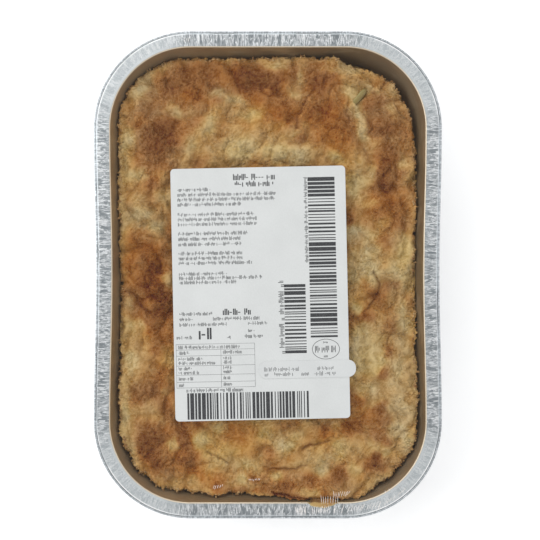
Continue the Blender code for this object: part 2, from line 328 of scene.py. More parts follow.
def sideBow(y, inset):
    straight = foilTray["length"] / 2 - foilTray["cornerRadius"]
    reach = np.minimum(np.abs(y) / (straight + 0.2 * inset), 1.0)
    return foilTray["sideBow"] * np.cos(math.pi / 2 * reach) ** 2


def rimPath():
    # even steps round the rim, anticlockwise seen from above
    radius = foilTray["cornerRadius"]
    halfX, halfY = foilTray["width"] / 2 - radius, foilTray["length"] / 2 - radius
    outline = []
    for quarter, (signX, signY) in enumerate(((1, 1), (-1, 1), (-1, -1), (1, -1))):
        for angle in np.linspace(0, math.pi / 2, 120) + quarter * math.pi / 2:
            place = (signX * halfX + radius * math.cos(angle), signY * halfY + radius * math.sin(angle))
            outline.append(place)
        if quarter % 2 == 1:
            endX, endY = outline[-1]
            outline += [(endX, y) for y in np.linspace(endY, -endY, 122)[1:-1]]
    outline.append(outline[0])
    outline = np.array(outline)
    outline[:, 0] -= np.sign(outline[:, 0]) * sideBow(outline[:, 1], 0.0)
    runs = np.hypot(*np.diff(outline, axis=0).T)
    travelled = np.concatenate(([0.0], np.cumsum(runs)))
    count = round(travelled[-1] / foilTray["pathSpacing"])
    steps = np.linspace(0, travelled[-1], count + 1)[:-1]
    x = np.interp(steps, travelled, outline[:, 0])
    y = np.interp(steps, travelled, outline[:, 1])
    return np.column_stack((x, y)), travelled[-1]


def arc(centre, radius, start, end, steps):
    angles = np.radians(np.linspace(start, end, steps + 1))
    return [(centre[0] + radius * math.cos(a), centre[1] + radius * math.sin(a)) for a in angles]


def straight(start, end, steps):
    # the points between two ends, without the ends
    return [tuple(np.array(start) + (np.array(end) - np.array(start)) * i / steps) for i in range(1, steps)]


def traySection():
    # (inset, height) from the middle of the floor up inside, round the rim and back underneath
    tray = foilTray
    lean = math.degrees(tray["draft"])
    floorZ = tray["foil"] + tray["floorRadius"]
    floorCentre = (wallInset(floorZ) + tray["floorRadius"] / math.cos(tray["draft"]), floorZ)
    ledge = tray["height"] - tray["rimStep"]
    bead = (tray["beadRadius"], ledge - tray["foil"] / 2)
    foot = arc(floorCentre, tray["floorRadius"], 270, 180 + lean, 6)
    bend = arc((bandEnd, tray["height"] - tray["bendRadius"]), tray["bendRadius"], lean, 90, 5)
    inside = foot + straight(foot[-1], bend[0], 10) + bend
    brink = (bandStart + 0.06 * mm, tray["height"])
    band = straight(bend[-1], brink, 9) + [(bandStart + 0.16 * mm, tray["height"]), brink]
    band.append((bandStart + 0.01 * mm, tray["height"] - 0.02 * mm))
    groove = [(bandStart, tray["height"] - 0.06 * mm), (bandStart - 0.01 * mm, ledge + 0.05 * mm)]
    groove += [(bandStart - 0.04 * mm, ledge - 0.02 * mm), (bandStart - 0.25 * mm, ledge - 0.06 * mm)]
    lip = arc(bead, tray["beadRadius"], 20, 340, 10)
    foil = tray["foil"]
    back = [(bandStart + foil, ledge - foil), (bandStart + foil, tray["height"] - foil)]
    under = (bandEnd - foil / 2, tray["height"] - foil)
    sole = arc(floorCentre, tray["floorRadius"] + foil, 180 + lean, 270, 6)
    back += straight(back[-1], under, 4) + [under] + straight(under, sole[0], 10) + sole
    return inside + band + groove + lip + back


def trayTree():
    # sweeps the section round the rim, then crimps the flange and dents the wall
    inputs = {"Section": "Object", "Pleat Height": "Float", "Pleat Spacing": "Float"}
    inputs |= {"Dent Height": "Float", "Dent Size": "Float", "Material": "Material"}
    tree = Growth("foilTray", inputs)
    path = tree.node("GeometryNodeMeshToCurve", None, {0: tree.given()})
    upright = tree.node("GeometryNodeSetCurveNormal", {"mode": "Z_UP"}, {0: path})
    section = tree.node("GeometryNodeObjectInfo", None, {"Object": tree.given("Section")})
    profile = tree.node("GeometryNodeMeshToCurve", None, {0: tree.out(section, "Geometry")})
    swept = tree.node("GeometryNodeCurveToMesh", None, {0: upright, 1: profile})
    lean = tree.node("ShaderNodeCombineXYZ", None, {"Z": tree.named("inset") * 0.16})
    streak = tree.vector("ADD", tree.named("rimRound", "FLOAT_VECTOR"), lean)
    sockets = {"Vector": streak, "Scale": 1.0 / tree.given("Pleat Spacing"), "Detail": 2.0, "Roughness": 0.6}
    pleats = tree.out(tree.node("ShaderNodeTexNoise", None, sockets))
    rise = (pleats - 0.5) * tree.given("Pleat Height") * tree.named("pleated")
    lift = tree.node("ShaderNodeCombineXYZ", None, {"Z": rise})
    crimped = tree.node("GeometryNodeSetPosition", None, {"Geometry": swept, "Offset": lift})
    place = tree.out(tree.node("GeometryNodeInputPosition"))
    sockets = {"Vector": place, "Scale": 1.0 / tree.given("Dent Size"), "Detail": 1.0}
    dents = tree.out(tree.node("ShaderNodeTexNoise", None, sockets))
    push = (dents - 0.5) * tree.given("Dent Height") * tree.named("dented")
    sideways = tree.vector("MULTIPLY", tree.vector("NORMALIZE", place), (1.0, 1.0, 0.0))
    shift = tree.node("ShaderNodeVectorMath", {"operation": "SCALE"}, {0: sideways, "Scale": push})
    dented = tree.node("GeometryNodeSetPosition", None, {"Geometry": crimped, "Offset": shift})
    return tree.finish(dented)


def rimMesh():
    # the rim's line, with its place on a circle of its own length for streaks that meet all round
    places, around = rimPath()
    turns = np.linspace(0, 2 * math.pi, len(places) + 1)[:-1]
    reach = around / (2 * math.pi)
    closed = [(i, (i + 1) % len(places)) for i in range(len(places))]
    path = meshOf("rimPath", [(x, y, 0.0) for x, y in places], edges=closed)
    rounds = np.column_stack((reach * np.cos(turns), reach * np.sin(turns), np.zeros(len(places))))
    setAttribute(path, "rimRound", rounds, "FLOAT_VECTOR")
    inX = foilTray["width"] / 2 - foilTray["cornerRadius"]
    inY = foilTray["length"] / 2 - foilTray["cornerRadius"]
    pastX, pastY = np.abs(places[:, 0]) - inX, np.abs(places[:, 1]) - inY
    cornerShare = np.minimum(pastX, pastY) / foilTray["cornerRadius"]
    setAttribute(path, "corner", np.clip(cornerShare * 3, 0, 1))
    return path


def sectionMesh():
    # the section's line, with what tells its parts from one another
    section = np.array(traySection())
    inset, height = section[:, 0], section[:, 1]
    top = foilTray["height"]
    onBand = (inset > bandStart + 0.1 * mm) & (height > top - 1.6 * mm)
    bandShare = np.clip((inset - bandStart) / (0.8 * mm), 0, 1)
    bandShare *= np.clip((bandEnd + 0.9 * mm - inset) / mm, 0, 1)
    onWall = np.clip((top - 2 * mm - height) / (6 * mm), 0, 1) * np.clip((height - 6 * mm) / (6 * mm), 0, 1)
    lipStart = int(np.argmin(inset))
    within = np.arange(len(section)) < lipStart
    tunnel = within & (inset < bandStart + 0.02 * mm) & (inset > 1.26 * mm) & (height < top - 0.1 * mm)
    run = [(i, i + 1) for i in range(len(section) - 1)]
    profile = meshOf("traySection", [(-u, -z, 0.0) for u, z in section], edges=run)  # swept upside down
    setAttribute(profile, "inset", inset)
    setAttribute(profile, "pleated", onBand * bandShare)
    setAttribute(profile, "dented", onWall)
    setAttribute(profile, "inside", within & (inset > bandEnd + 0.15 * mm))
    setAttribute(profile, "grooved", tunnel)
    return profile


def makeTray(material):
    holder = addObject("traySection", sectionMesh())
    values = {"Section": holder, "Pleat Height": foilTray["pleatHeight"]}
    values |= {"Pleat Spacing": foilTray["pleatSpacing"], "Dent Height": foilTray["dentHeight"]}
    values |= {"Dent Size": foilTray["dentSize"], "Material": material}
    tray = grow("foil_tray", trayTree(), rimMesh(), values)
    bpy.data.objects.remove(holder)

    shape = bmesh.new()
    shape.from_mesh(tray.data)
    bmesh.ops.holes_fill(shape, edges=[e for e in shape.edges if e.is_boundary], sides=0)
    bmesh.ops.recalc_face_normals(shape, faces=shape.faces)
    shape.to_mesh(tray.data)
    shape.free()
    tray.data.set_sharp_from_angle(angle=math.radians(50))
    return tray


def tone(red, green, blue):
    # a colour given as it shows on a screen, 0 to 255
    levels = [v / 255 for v in (red, green, blue)]
    linear = [v / 12.92 if v < 0.04 else ((v + 0.055) / 1.055) ** 2.4 for v in levels]
    return tuple(min(v, 1.0) for v in linear)


def foilMaterial():
    paint = Paint("rolledFoil")
    place = paint.place()
    inset = paint.attribute("inset")
    rimRound = paint.attribute("rimRound", "Vector")
    across = paint.node("ShaderNodeCombineXYZ", None, {"Z": inset * 0.24})
    streak = paint.vector("ADD", rimRound, across)
    creases = paint.grain(streak, 620, detail=1.0, rough=0.5, distort=1.1)
    fine = paint.grain(streak, 1300, detail=1.0, rough=0.6, distort=0.8)
    slow = paint.stretched(rimRound, (0.06, 0.06, 0.06))
    upright = paint.node("ShaderNodeCombineXYZ", None, {"Z": inset})
    drawn = paint.grain(paint.vector("ADD", slow, upright), 900, detail=2.0)
    mottle = paint.grain(place, 1500, detail=2.0)
    broad = paint.grain(place, 45, detail=2.0)
    inside = paint.attribute("inside")
    inner = paint.between(inset, bandEnd - 1.5 * mm, bandEnd - 0.9 * mm)
    corner = paint.attribute("corner")
    crimped = paint.attribute("pleated") * (1.0 - inner * (corner * 0.55 + 0.25))
    lip = paint.between(inset, 1.40 * mm, 1.20 * mm)
    # streaks along the straight sides, a fine mottle in the corners: the crimps' reflections painted as light
    # and dark foil colour
    wiry = paint.ridge(creases, 0.040)
    streaky = creases * 0.40 + fine * 0.42 + mottle * 0.10 + wiry * 0.16
    speckled = mottle * 0.40 + fine * 0.25 + creases * 0.35
    pattern = streaky * (1.0 - corner) + speckled * corner
    shine = paint.between(pattern, 0.38, 0.66)
    crimpReflections = paint.mix(shine, tone(154, 160, 164), tone(252, 253, 255))
    crimpReflections = paint.mix(corner * 0.85, crimpReflections, paint.mix(shine, tone(216, 222, 225), tone(248, 250, 251)))
    # painted highlights: near-white streaks on the flange where the crimps catch the light
    bright = paint.between(paint.grain(streak, 900, detail=0.0), 0.68, 0.73) * (1.0 - corner * 0.7)
    crimpReflections = paint.mix(bright, crimpReflections, tone(253, 254, 255))
    silver = paint.mix(crimped, paint.mix(corner, tone(208, 213, 216), tone(240, 244, 246)), crimpReflections)
    silver = paint.mix(lip, silver, paint.mix(shine, tone(160, 165, 168), tone(222, 226, 229)))
    top = foilTray["height"]
    outside = paint.between(paint.along(place, 2), top - 2.4 * mm, top - 3.4 * mm) * (1.0 - inside)
    sheen = paint.between(drawn * 0.75 + broad * 0.25, 0.30, 0.70)
    silver = paint.mix(outside, silver, paint.mix(sheen, tone(168, 172, 176), tone(194, 198, 201)))
    patchy = paint.between(paint.grain(streak, 40, detail=0.0), 0.52, 0.60)
    grooveShading = paint.maths("MAXIMUM", corner * 0.85, patchy)
    stained = paint.mix(paint.between(broad, 0.3, 0.7), tone(156, 133, 101), tone(182, 157, 119))
    # painted shade: the inside wall is made darker towards the right
    shadedRightwards = paint.between(paint.along(place, 0), -60 * mm, 60 * mm)
    stained = paint.mix(shadedRightwards * 0.5, stained, tone(98, 82, 58))
    stained = paint.mix(paint.between(drawn, 0.50, 0.64) * 0.4, stained, tone(186, 166, 136))
    stained = paint.mix(corner * 0.5, stained, tone(166, 147, 122))
    colour = paint.mix(inside, silver, stained)
    # painted highlight: a thin pale line along the bend at the flange's inner edge
    bend = paint.between(inset, bandEnd - 0.05 * mm, bandEnd + 0.15 * mm)
    bend = bend * paint.between(inset, bandEnd + 0.75 * mm, bandEnd + 0.45 * mm) * inside
    colour = paint.mix(bend, colour, tone(228, 214, 192))
    # painted highlight: a broken white line on the band's outer crest in the corners, made less metallic
    # below so that it shows bright
    crestHighlight = paint.between(inset, 1.58 * mm, 1.66 * mm) * paint.between(inset, 2.15 * mm, 1.95 * mm) * corner
    crestHighlight = crestHighlight * paint.between(paint.grain(place, 90, detail=0.0), 0.35, 0.50)
    colour = paint.mix(crestHighlight, colour, (1.0, 1.0, 1.0))
    # painted shade: a dark, broken line in the groove between the sealing band and the bead, in patches along
    # the sides and all round the corners
    dark = paint.attribute("grooved") * grooveShading * paint.between(creases, 0.30, 0.46)
    colour = paint.mix(dark, colour, tone(50, 52, 54))
    height = (creases * 0.5 + fine * 0.35 + wiry * 0.3) * crimped * (1.0 - corner * 0.6) + mottle * 0.15
    height = height + drawn * outside * 0.5
    rough = 0.28 + fine * 0.14 + inside * 0.14 + lip * 0.12 + outside * 0.10
    bump = paint.bump(height, 0.16 * mm, 0.6)
    metallic = 1.0 - inside * 0.45 - crestHighlight * 0.8
    return paint.finish(paint.principled(Base_Color=colour, Metallic=metallic, Roughness=rough, Normal=bump))


def pastCorners(x, y, halfX, halfY, radius):
    # how far points lie past the middles of a rectangle's corner rounds
    outX = np.maximum(np.abs(x) - (halfX - radius), 0) * np.sign(x)
    outY = np.maximum(np.abs(y) - (halfY - radius), 0) * np.sign(y)
    return outX, outY, np.maximum(np.hypot(outX, outY), 1e-9)


def roundedGrid(x, y, halfX, halfY, radius):
    # draws the corners of a grid in to the rounds
    outX, outY, reach = pastCorners(x, y, halfX, halfY, radius)
    corner = (outX != 0) & (outY != 0)
    pull = np.where(corner, np.maximum(np.abs(outX), np.abs(outY)) / reach, 1.0)
    return x - outX * (1 - pull), y - outY * (1 - pull)


# The food's or the film's outline: a rectangle with round corners at one inset from the rim
class Outline:
    def __init__(self, inset):
        self.inset = inset
        self.halfX = foilTray["width"] / 2 - inset
        self.halfY = foilTray["length"] / 2 - inset
        self.radius = foilTray["cornerRadius"] - inset

    def outwards(self, x, y):
        return pastCorners(x, y, self.halfX, self.halfY, self.radius)

    def rounded(self, x, y):
        return roundedGrid(x, y, self.halfX, self.halfY, self.radius)

    def bowed(self, x, y):
        return x - sideBow(y, self.inset) * x / self.halfX, y


food = {
    "level": 38.0 * mm,
    "sideTop": 28.0 * mm,
    "sauceTop": 36.0 * mm,
    "wallGap": 0.6 * mm,
    "pullAway": 0.5 * mm,
    "ragged": 1.2 * mm,
    "edgeRadius": 3.4 * mm,
    "edgeDrop": 1.8 * mm,
    "edgeReach": 16 * mm,
    "cell": 0.66 * mm,
    "edgeCells": (0.22 * mm, 0.50 * mm, 0.85 * mm, 1.3 * mm),
    "filmGap": 0.3 * mm,
    "softCeiling": 1.6 * mm,
    "frontRise": 1.4 * mm,
    "curlHeight": 0.50 * mm,
    "lumpHeight": 1.1 * mm,
    "crumbHeight": 0.30 * mm,
    "creaseDepth": 0.7 * mm,
    "toothDepth": 2.1 * mm,
    "toothReach": 2.5 * mm,
    "sideShares": (0.12, 0.26, 0.42, 0.62, 0.82),
    "sauceShare": 0.42,
    "pitDepth": 1.0 * mm,
    "hiddenHalves": (43 * mm, 63 * mm),
}
# Swollen parts: x, y, half width, half length in mm, turn in degrees, height in mm
swells = (
    (-58, 73, 12, 10, 35, 1.8), (-52, 98, 6, 8, 0, 0.9), (-10, 104, 13, 7, -10, 1.3),
    (13, 88, 9, 9, 0, 1.5), (33, 78, 13, 16, 15, 2.7), (37, 106, 9, 6, -20, 1.3),
    (63, 75, 8, 18, -10, 1.9), (64, 28, 8, 13, 15, 1.2), (60, -8, 9, 12, -10, 1.6),
    (62, -50, 8, 11, 25, 1.4), (56, -90, 10, 9, 0, 1.6), (6, -92, 16, 8, 14, 1.6),
    (-36, -98, 12, 9, -15, 1.5), (-62, -89, 9, 15, -8, 1.6), (-66, -55, 7, 12, 10, 1.5),
    (-66, -4, 8, 12, -20, 1.4), (-68, 40, 6, 11, 5, 1.2),
)
# Folds: the corners of a line in mm, half width, depth
folds = (
    (((1.0, -102.4), (14.0, -101.4), (19.6, -98.8)), 2.2, 1.5),
    (((18.0, -91.1), (26.0, -88.5), (32.5, -87.5)), 2.2, 1.6),
    (((-71.6, -9.7), (-68.5, -15.9), (-62.9, -20.3)), 2.4, 1.6),
    (((44.0, 85.0), (48.0, 72.0), (54.0, 56.0)), 3.0, 1.8),
    (((20.0, 100.0), (26.0, 96.0), (30.0, 102.0)), 2.4, 1.4),
    (((60.0, -5.0), (56.0, -14.0), (50.0, -23.0)), 2.2, 1.4),
    (((-72.0, 29.0), (-64.0, 26.5), (-56.0, 24.0)), 2.6, 1.3),
)
# Where the crust's edge stands further from the wall or closer to it, in mm and degrees
edgeChanges = (
    (66, 98, 16, 28, 45, 4.2), (48, 110, 12, 11, 0, 3.8), (76, 60, 12, 26, 0, 0.6),
    (78, -10, 12, 70, 0, 0.2), (-15, 118, 42, 12, 0, 1.0), (-78, -50, 12, 34, 0, 1.2),
    (-66, -98, 14, 22, 45, 0.9), (-35, -118, 34, 12, 0, 0.9), (66, -98, 14, 22, -45, 1.4),
    (31, -116, 16, 12, 0, -2.0), (-80, 5, 12, 34, 0, -0.8),
)
closestEdge = 0.4 * mm
bulge = (31, -113, 19, 12, 0, 6.4)
potatoSlice = {
    "length": 11.2 * mm,
    "width": 3.4 * mm,
    "height": 2.8 * mm,
    "centre": (47.9, 93.0),
    "turn": 50,
    "hollow": (8.5, 6.0, 1.6),
    "roundness": 0.62,
}


def mainRelief(x, y):
    # the crust as the frame's solid has it, with its folds and swellings
    warp = relief(x, y, 17 * mm, 4.1) * 4.5 * mm
    height = food["level"] + relief(x, y, 40 * mm, 1.7) * 1.8 * mm
    height += relief(x, y, 5.6 * mm, 2.9) * 0.7 * mm
    puff = np.abs(relief(x + warp, y - warp, 12.5 * mm, 7.3))
    height += puff * 5.2 * mm
    for swell in swells:
        height += swell[5] * mm * overOval(x, y, swell)
    for line, halfWidth, depth in folds:
        height -= depth * mm * alongLine(x, y, line, halfWidth)
    halfX, halfY, depth = potatoSlice["hollow"]
    height -= depth * mm * overOval(x, y, (*potatoSlice["centre"], halfX, halfY, potatoSlice["turn"]))
    height += food["frontRise"] * np.maximum(0, -y / (foilTray["length"] / 2))
    return height + bulge[5] * mm * overOval(x, y, bulge), puff


def underFilm(height):
    soft = food["softCeiling"]
    knee = foilTray["height"] - food["filmGap"] - soft
    return np.where(height < knee, height, knee + soft * np.tanh((height - knee) / soft))


def fineRelief(x, y):
    # wrinkled skin: curling ridges, lumps between them and a fine crumb
    warpX = relief(x, y, 5.5 * mm, 21.3) * 5.0 * mm
    warpY = relief(x, y, 5.5 * mm, 35.9) * 5.0 * mm
    coarse = relief(x + warpX, y + warpY, 3.6 * mm, 11.7)
    finer = relief(x - warpY, y + warpX, 2.1 * mm, 15.1)
    curls = np.exp(-((coarse / 0.11) ** 2)) + 0.6 * np.exp(-((finer / 0.13) ** 2))
    lumps = relief(x + 0.5 * warpX, y - 0.5 * warpY, 4.6 * mm, 18.4)
    crumb = relief(x, y, 1.5 * mm, 19.6)
    return curls, lumps, crumb


def edgeGap(x, y):
    gap = food["pullAway"] + np.abs(relief(x, y, 6 * mm, 9.2)) * food["ragged"]
    for change in edgeChanges:
        gap += change[5] * mm * overOval(x, y, change)
    return np.maximum(gap, closestEdge)


# Creases in the skin: the corners of a line in mm, half width, depth
creaseLines = (
    (((1.1, -101.4), (8.0, -101.2), (14.0, -101.4), (19.6, -98.8)), 0.5, 1.0),
    (((18.1, -91.1), (22.0, -88.8), (25.8, -88.5), (32.5, -87.5)), 0.55, 1.0),
    (((19.5, 92.0), (18.0, 87.0), (14.5, 81.0), (15.0, 77.5)), 0.6, 0.9),
    (((24.0, 97.0), (20.5, 93.0), (19.0, 89.0)), 0.6, 0.8),
    (((-32.0, -92.5), (-26.0, -95.5), (-20.5, -99.0)), 0.5, 0.9),
    (((-13.0, 61.5), (-5.0, 58.5), (4.0, 60.5), (11.0, 58.0)), 0.45, 0.6),
    (((42.0, 90.5), (40.5, 85.0), (42.5, 80.0)), 0.55, 0.8),
    (((50.0, 66.0), (54.0, 60.0), (60.5, 55.0)), 0.5, 0.6),
    (((-71.6, -9.7), (-68.5, -15.9), (-62.9, -20.3)), 0.6, 0.9),
    (((56.5, 2.0), (60.0, -5.0), (56.5, -13.0), (51.0, -20.0)), 0.6, 0.9),
    (((3.0, -113.6), (12.0, -114.2), (20.0, -115.0), (28.0, -115.8), (38.0, -115.4)), 0.8, 1.6),
)


def creasesAt(x, y, puff):
    warpX = relief(x, y, 3 * mm, 41.3) * 1.2 * mm
    warpY = relief(x, y, 3 * mm, 43.7) * 1.2 * mm
    cut = np.zeros(x.shape)
    for line, halfWidth, depth in creaseLines:
        cut = np.maximum(cut, depth * alongLine(x + warpX, y + warpY, line, halfWidth))
    netShown = np.clip(relief(x, y, 15 * mm, 45.1) * 4 + 0.4, 0, 1)
    cut = np.maximum(cut, 0.40 * netShown * np.exp(-((puff / 0.020) ** 2)))
    pleats = np.abs(relief(x + 3 * warpX, y + 3 * warpY, 6.5 * mm, 47.9))
    pleatsShown = np.clip(relief(x, y, 9 * mm, 49.1) * 4 + 0.2, 0, 1)
    return np.maximum(cut, 0.32 * pleatsShown * np.exp(-((pleats / 0.035) ** 2)))


# Browned patches, a few of them painted shadow: x, y, half width, half length in mm, turn in degrees,
# browning
brownAndShadowPatches = (
    (-57, 70.5, 8.5, 8, 30, 0.95), (-52, 79, 7, 3.5, 20, 0.40), (-44, 106, 2.2, 3.8, 0, 0.80),
    (-51, 97, 4.6, 6, -10, 0.52), (-38, 93.4, 5, 3, 0, 0.30), (-33, 106, 4, 4, 0, 0.38),
    (-30, 100, 6, 2.4, -10, 0.48), (-17, 106, 5, 3, 0, 0.30), (-9, 102.5, 8.5, 6.5, 10, 1.0),
    (4.5, 98, 4, 5, 0, 0.60), (-5.5, 90, 3, 2, 0, 0.25), (13.5, 106, 2.6, 3, 0, 0.40),
    (27, 99, 3.4, 6, 15, 0.58), (28, 86, 5, 5, 0, 0.40), (26, 80.5, 5, 4, 0, 0.12),
    (11, 85, 5, 5, 0, 0.36), (34, 76, 11, 13, 15, 0.22), (55, 91, 6, 5, 0, 0.52),
    (18, 71, 1.6, 1.9, 0, 0.60), (35, 102.5, 5, 2.8, 20, 0.34), (56, 84, 5.5, 4, 0, 0.44),
    (60, 75, 6.5, 5, 0, 0.50), (64, 64, 6, 6, 0, 0.48), (61, 55.5, 3.4, 5, 0, 0.55),
    (-65, 87, 4, 3, 0, 0.28), (-73, 75, 3, 4, 0, 0.10), (-62, 57, 8, 2.8, 0, 0.30),
    (-61.3, 48.5, 2, 2.4, 0, 0.48), (-73, 36, 3.6, 4, 0, 0.28), (-52.7, 22, 2, 4.5, 0, 0.34),
    (-65.5, 13, 4.4, 5, 0, 0.52), (-70.7, 17.5, 1.5, 2.6, 0, 0.48), (-53.5, 13, 3, 2.8, 0, 0.26),
    (-61.5, 1.0, 3.6, 5.4, -10, 0.76), (-65.6, -4, 5, 4, 0, 0.55), (-59.6, -8.5, 4, 5, 0, 0.88),
    (-56.5, -13.5, 4, 5, 0, 0.70), (-68, -13.5, 3.4, 3.6, 0, 0.72), (-58.7, -20, 4.4, 2.6, -30, 0.60),
    (-52.7, -17.5, 3, 4, 0, 0.50), (-62, -30.5, 3, 1.5, 0, 0.36), (-59, -38, 1.5, 6, 0, 0.32),
    (-53.5, -34, 4, 4, 0, 0.28), (-58, -55.5, 3, 4, 0, 0.34), (-61, -59.5, 3.5, 3, 0, 0.56),
    (-67, -63, 5, 4.6, 0, 0.42), (-53.5, -69.5, 2.6, 5, 0, 0.52), (61.5, 46.3, 3.6, 2.8, 0, 0.95),
    (71, 53.7, 4, 1.5, 0, 0.40), (67, 37, 4.6, 2.5, 0, 0.42), (58, 33.8, 9, 2.2, 0, 0.32),
    (42.6, 29.5, 2.6, 2.6, 0, 0.52), (49, 16, 2.4, 2.4, 0, 0.25), (41.8, 11.5, 1.5, 6, 0, 0.42),
    (71.8, 25.8, 2, 2, 0, 0.42), (62, 4, 2, 2, 0, 0.24), (66, -5.6, 6, 2.4, 10, 0.50),
    (58.2, -11.5, 2.8, 4.4, 30, 0.46), (51.5, -22, 4.2, 1.8, 0, 0.66), (43.3, -23.4, 2.6, 1.7, 0, 0.72),
    (65.4, -28, 5, 4, 0, 0.32), (63.6, -41, 2.8, 4, 0, 0.46), (60, -50, 3.4, 3.4, 0, 0.50),
    (47.3, -65, 4.6, 5.5, 0, 0.50), (59.5, -70, 2.8, 3.6, -30, 0.60), (44.3, -79.5, 6, 2.8, 10, 0.46),
    (60, -86, 2.4, 6, 50, 0.50), (56.3, -97.8, 4.4, 4, 0, 0.82), (36, -105.2, 5, 2.8, 15, 0.60),
    (24, -106.3, 5.4, 2.4, 0, 0.42), (10, -110, 4, 2.6, 0, 0.38), (29.6, -81.4, 1.7, 3, 0, 0.52),
    (-13.7, -85, 7, 3, 0, 0.16), (9, -79.5, 5, 3, 0, 0.28), (-35.8, -77.7, 5, 2.6, 0, 0.36),
    (-47, -78.6, 5, 2.6, 0, 0.34), (-44, -86, 3, 5, 0, 0.42), (-42, -96.5, 4.6, 3.8, 0, 0.62),
    (-40.4, -103.6, 3.4, 4, 0, 0.42), (-60.7, -84.6, 7, 5.4, 10, 0.85), (-62.5, -93, 5.4, 6, 0, 0.66),
    (-57, -99.5, 4, 2.8, -20, 0.44), (-26.6, -111, 3.4, 1.8, 0, 0.42),
    # the patch at -4.5, -106.5 is a painted shadow under a fold; the thin ones along the lower edge at -113
    # to -115 are brown sauce with painted shadow under the crust's edge
    (-4.5, -106.5, 6.5, 1.6, -5, 0.50), (1, -93, 3, 3, 0, 0.24), (-22, -86, 9, 5, 0, 0.06),
    (13, -114.4, 9, 1.2, 0, 0.7), (31, -115.2, 10, 1.6, 0, 0.7), (-12, -113, 14, 1.6, 0, 0.4),
    (61, -75, 4, 3.4, 0, 0.44), (42, 92, 2.6, 3, 0, 0.30), (-7, 78, 7, 6, 0, 0.26),
    (31, 105, 4.4, 3.2, 0, 0.44), (5, 104.5, 4.4, 3.2, 0, 0.44), (-26, 92, 3.4, 3, 0, 0.40),
    (-38, 80, 4.4, 4, 0, 0.30), (61, 18, 4, 4, 0, 0.26), (30, -106, 4, 2.4, 0, 0.34),
    (-63, -25.4, 3.2, 2.6, 0, 0.34), (11.5, 91.6, 3, 2.4, 0, 0.30),
)
# Pale patches, the same way
palePatches = (
    (46.3, 88.2, 2.0, 1.3, -40, 0.80), (43.6, 96, 2.0, 5, 30, 0.50), (52.5, 97.5, 2.0, 3.5, -20, 0.40),
    (-66.7, 97, 3, 4, -35, 0.52), (-48, 85, 2.6, 2.6, 0, 0.52), (-26, 96, 3.4, 3, 0, 0.40),
    (-17.5, 91.5, 5, 2.8, 0, 0.46), (-31, 78, 4, 5, 0, 0.30), (-15.5, 66, 8, 5, 0, 0.50),
    (8, 64, 10, 4, -10, 0.52), (-40.5, 66, 3.4, 5, 0, 0.42), (14, 94.4, 5, 1.2, 0, 0.34),
    (19.5, 78.6, 1.7, 2, 0, 0.60), (13.5, 74, 3, 2.4, 0, 0.40), (49, 78, 2.2, 10, 14, 0.66),
    (58, 97, 3, 2, 0, 0.20), (32, 108, 5, 1.8, 0, 0.40), (4, 110, 5.5, 2.2, 0, 0.44),
    (17.5, 105.5, 1.8, 5, 0, 0.42), (70.5, 59.5, 2.8, 4, 0, 0.50), (66, 88, 3, 3, 0, 0.20),
    (-66, -36, 4, 4, 0, 0.12), (-10, 84, 6, 3, 0, 0.40), (52, 5, 4, 4, 0, 0.44),
    (-66, 31.5, 7, 3.6, 5, 0.46), (-59, 25, 5, 2.6, 0, 0.44), (-69, 52, 6, 4, 0, 0.40),
    (-55, 42, 4, 6, 0, 0.28), (-53.5, -1, 3, 5, 0, 0.48), (-73.5, -16, 2.6, 6, 0, 0.40),
    (-63, -16, 2, 1.8, 30, 0.70), (-69, -28, 5, 4, 0, 0.44), (-73, -44.5, 4, 6, 0, 0.60),
    (-66, -43, 3, 5, 0, 0.10), (-53, -60.5, 3, 3, 0, 0.42), (45.6, 46, 4, 6, 0, 0.46),
    (53, 48.5, 4, 3, 0, 0.30), (53, 37.6, 7, 1.6, 0, 0.24), (45.6, 23.6, 5, 3, 0, 0.38),
    (55, 17, 6, 7, 0, 0.38), (73, 12, 2.6, 8, 0, 0.70), (25, -88, 4, 4, 0, 0.10),
    (56, -0.5, 4, 4, 0, 0.42), (68, 4, 4, 4, 0, 0.42), (45.5, -2, 4, 4, 0, 0.26),
    (50.7, -31, 6, 5, 0, 0.42), (52, -45, 9, 7, 0, 1.0), (51, -45, 5, 4, 0, 1.0),
    (72, -22, 3, 8, 0, 0.50), (69.7, -48, 3, 6, -15, 0.36), (55, -60, 3, 4, 0, 0.36),
    (68, -68, 5, 5, 0, 0.34), (70, -82, 5, 5, 0, 0.38), (54.4, -89.7, 2.6, 2.6, 0, 0.40),
    (37, -93.5, 5, 5, 0, 0.32), (28, -101.5, 3, 4, 0, 0.44), (4.7, -105, 3, 1.8, 10, 0.70),
    (-13.7, -107.4, 3.2, 1.7, 0, 0.70), (-13.7, -99.5, 7, 2.6, 0, 0.36), (-3.6, -83, 3, 5, -15, 0.42),
    (10, -88, 6, 2.4, 10, 0.44), (-35, -87.5, 4, 4, 0, 0.64), (-32, -93.5, 3, 2, 0, 0.36),
    (-50.5, -89, 3.6, 3.4, 0, 0.62), (45, -102, 3, 5, 10, 0.36), (-6, -76, 7, 2, 0, 0.24),
    (14, -99, 5, 2.4, 0, 0.24), (-70, -94, 3, 6, 35, 0.60), (-75, -72, 2.8, 8, 0, 0.60),
    (20, -112, 7, 2.2, 0, 0.60), (74, -1, 2.8, 6, 0, 0.50), (48, -18.2, 3.4, 2.6, 0, 0.60),
    (49, -61.5, 3.2, 3, 0, 0.60), (73.5, -87, 2.6, 6, 12, 0.56), (61.5, -93, 3, 3, 0, 0.56),
    (55, 55.5, 3, 3, 0, 0.50), (18, 62, 5, 4, 0, 0.40), (-74, 71, 3.4, 8, -10, 0.50),
    (-26, -80.5, 4, 2.6, 0, 0.40), (36, 61, 4, 3, 0, 0.40),
)
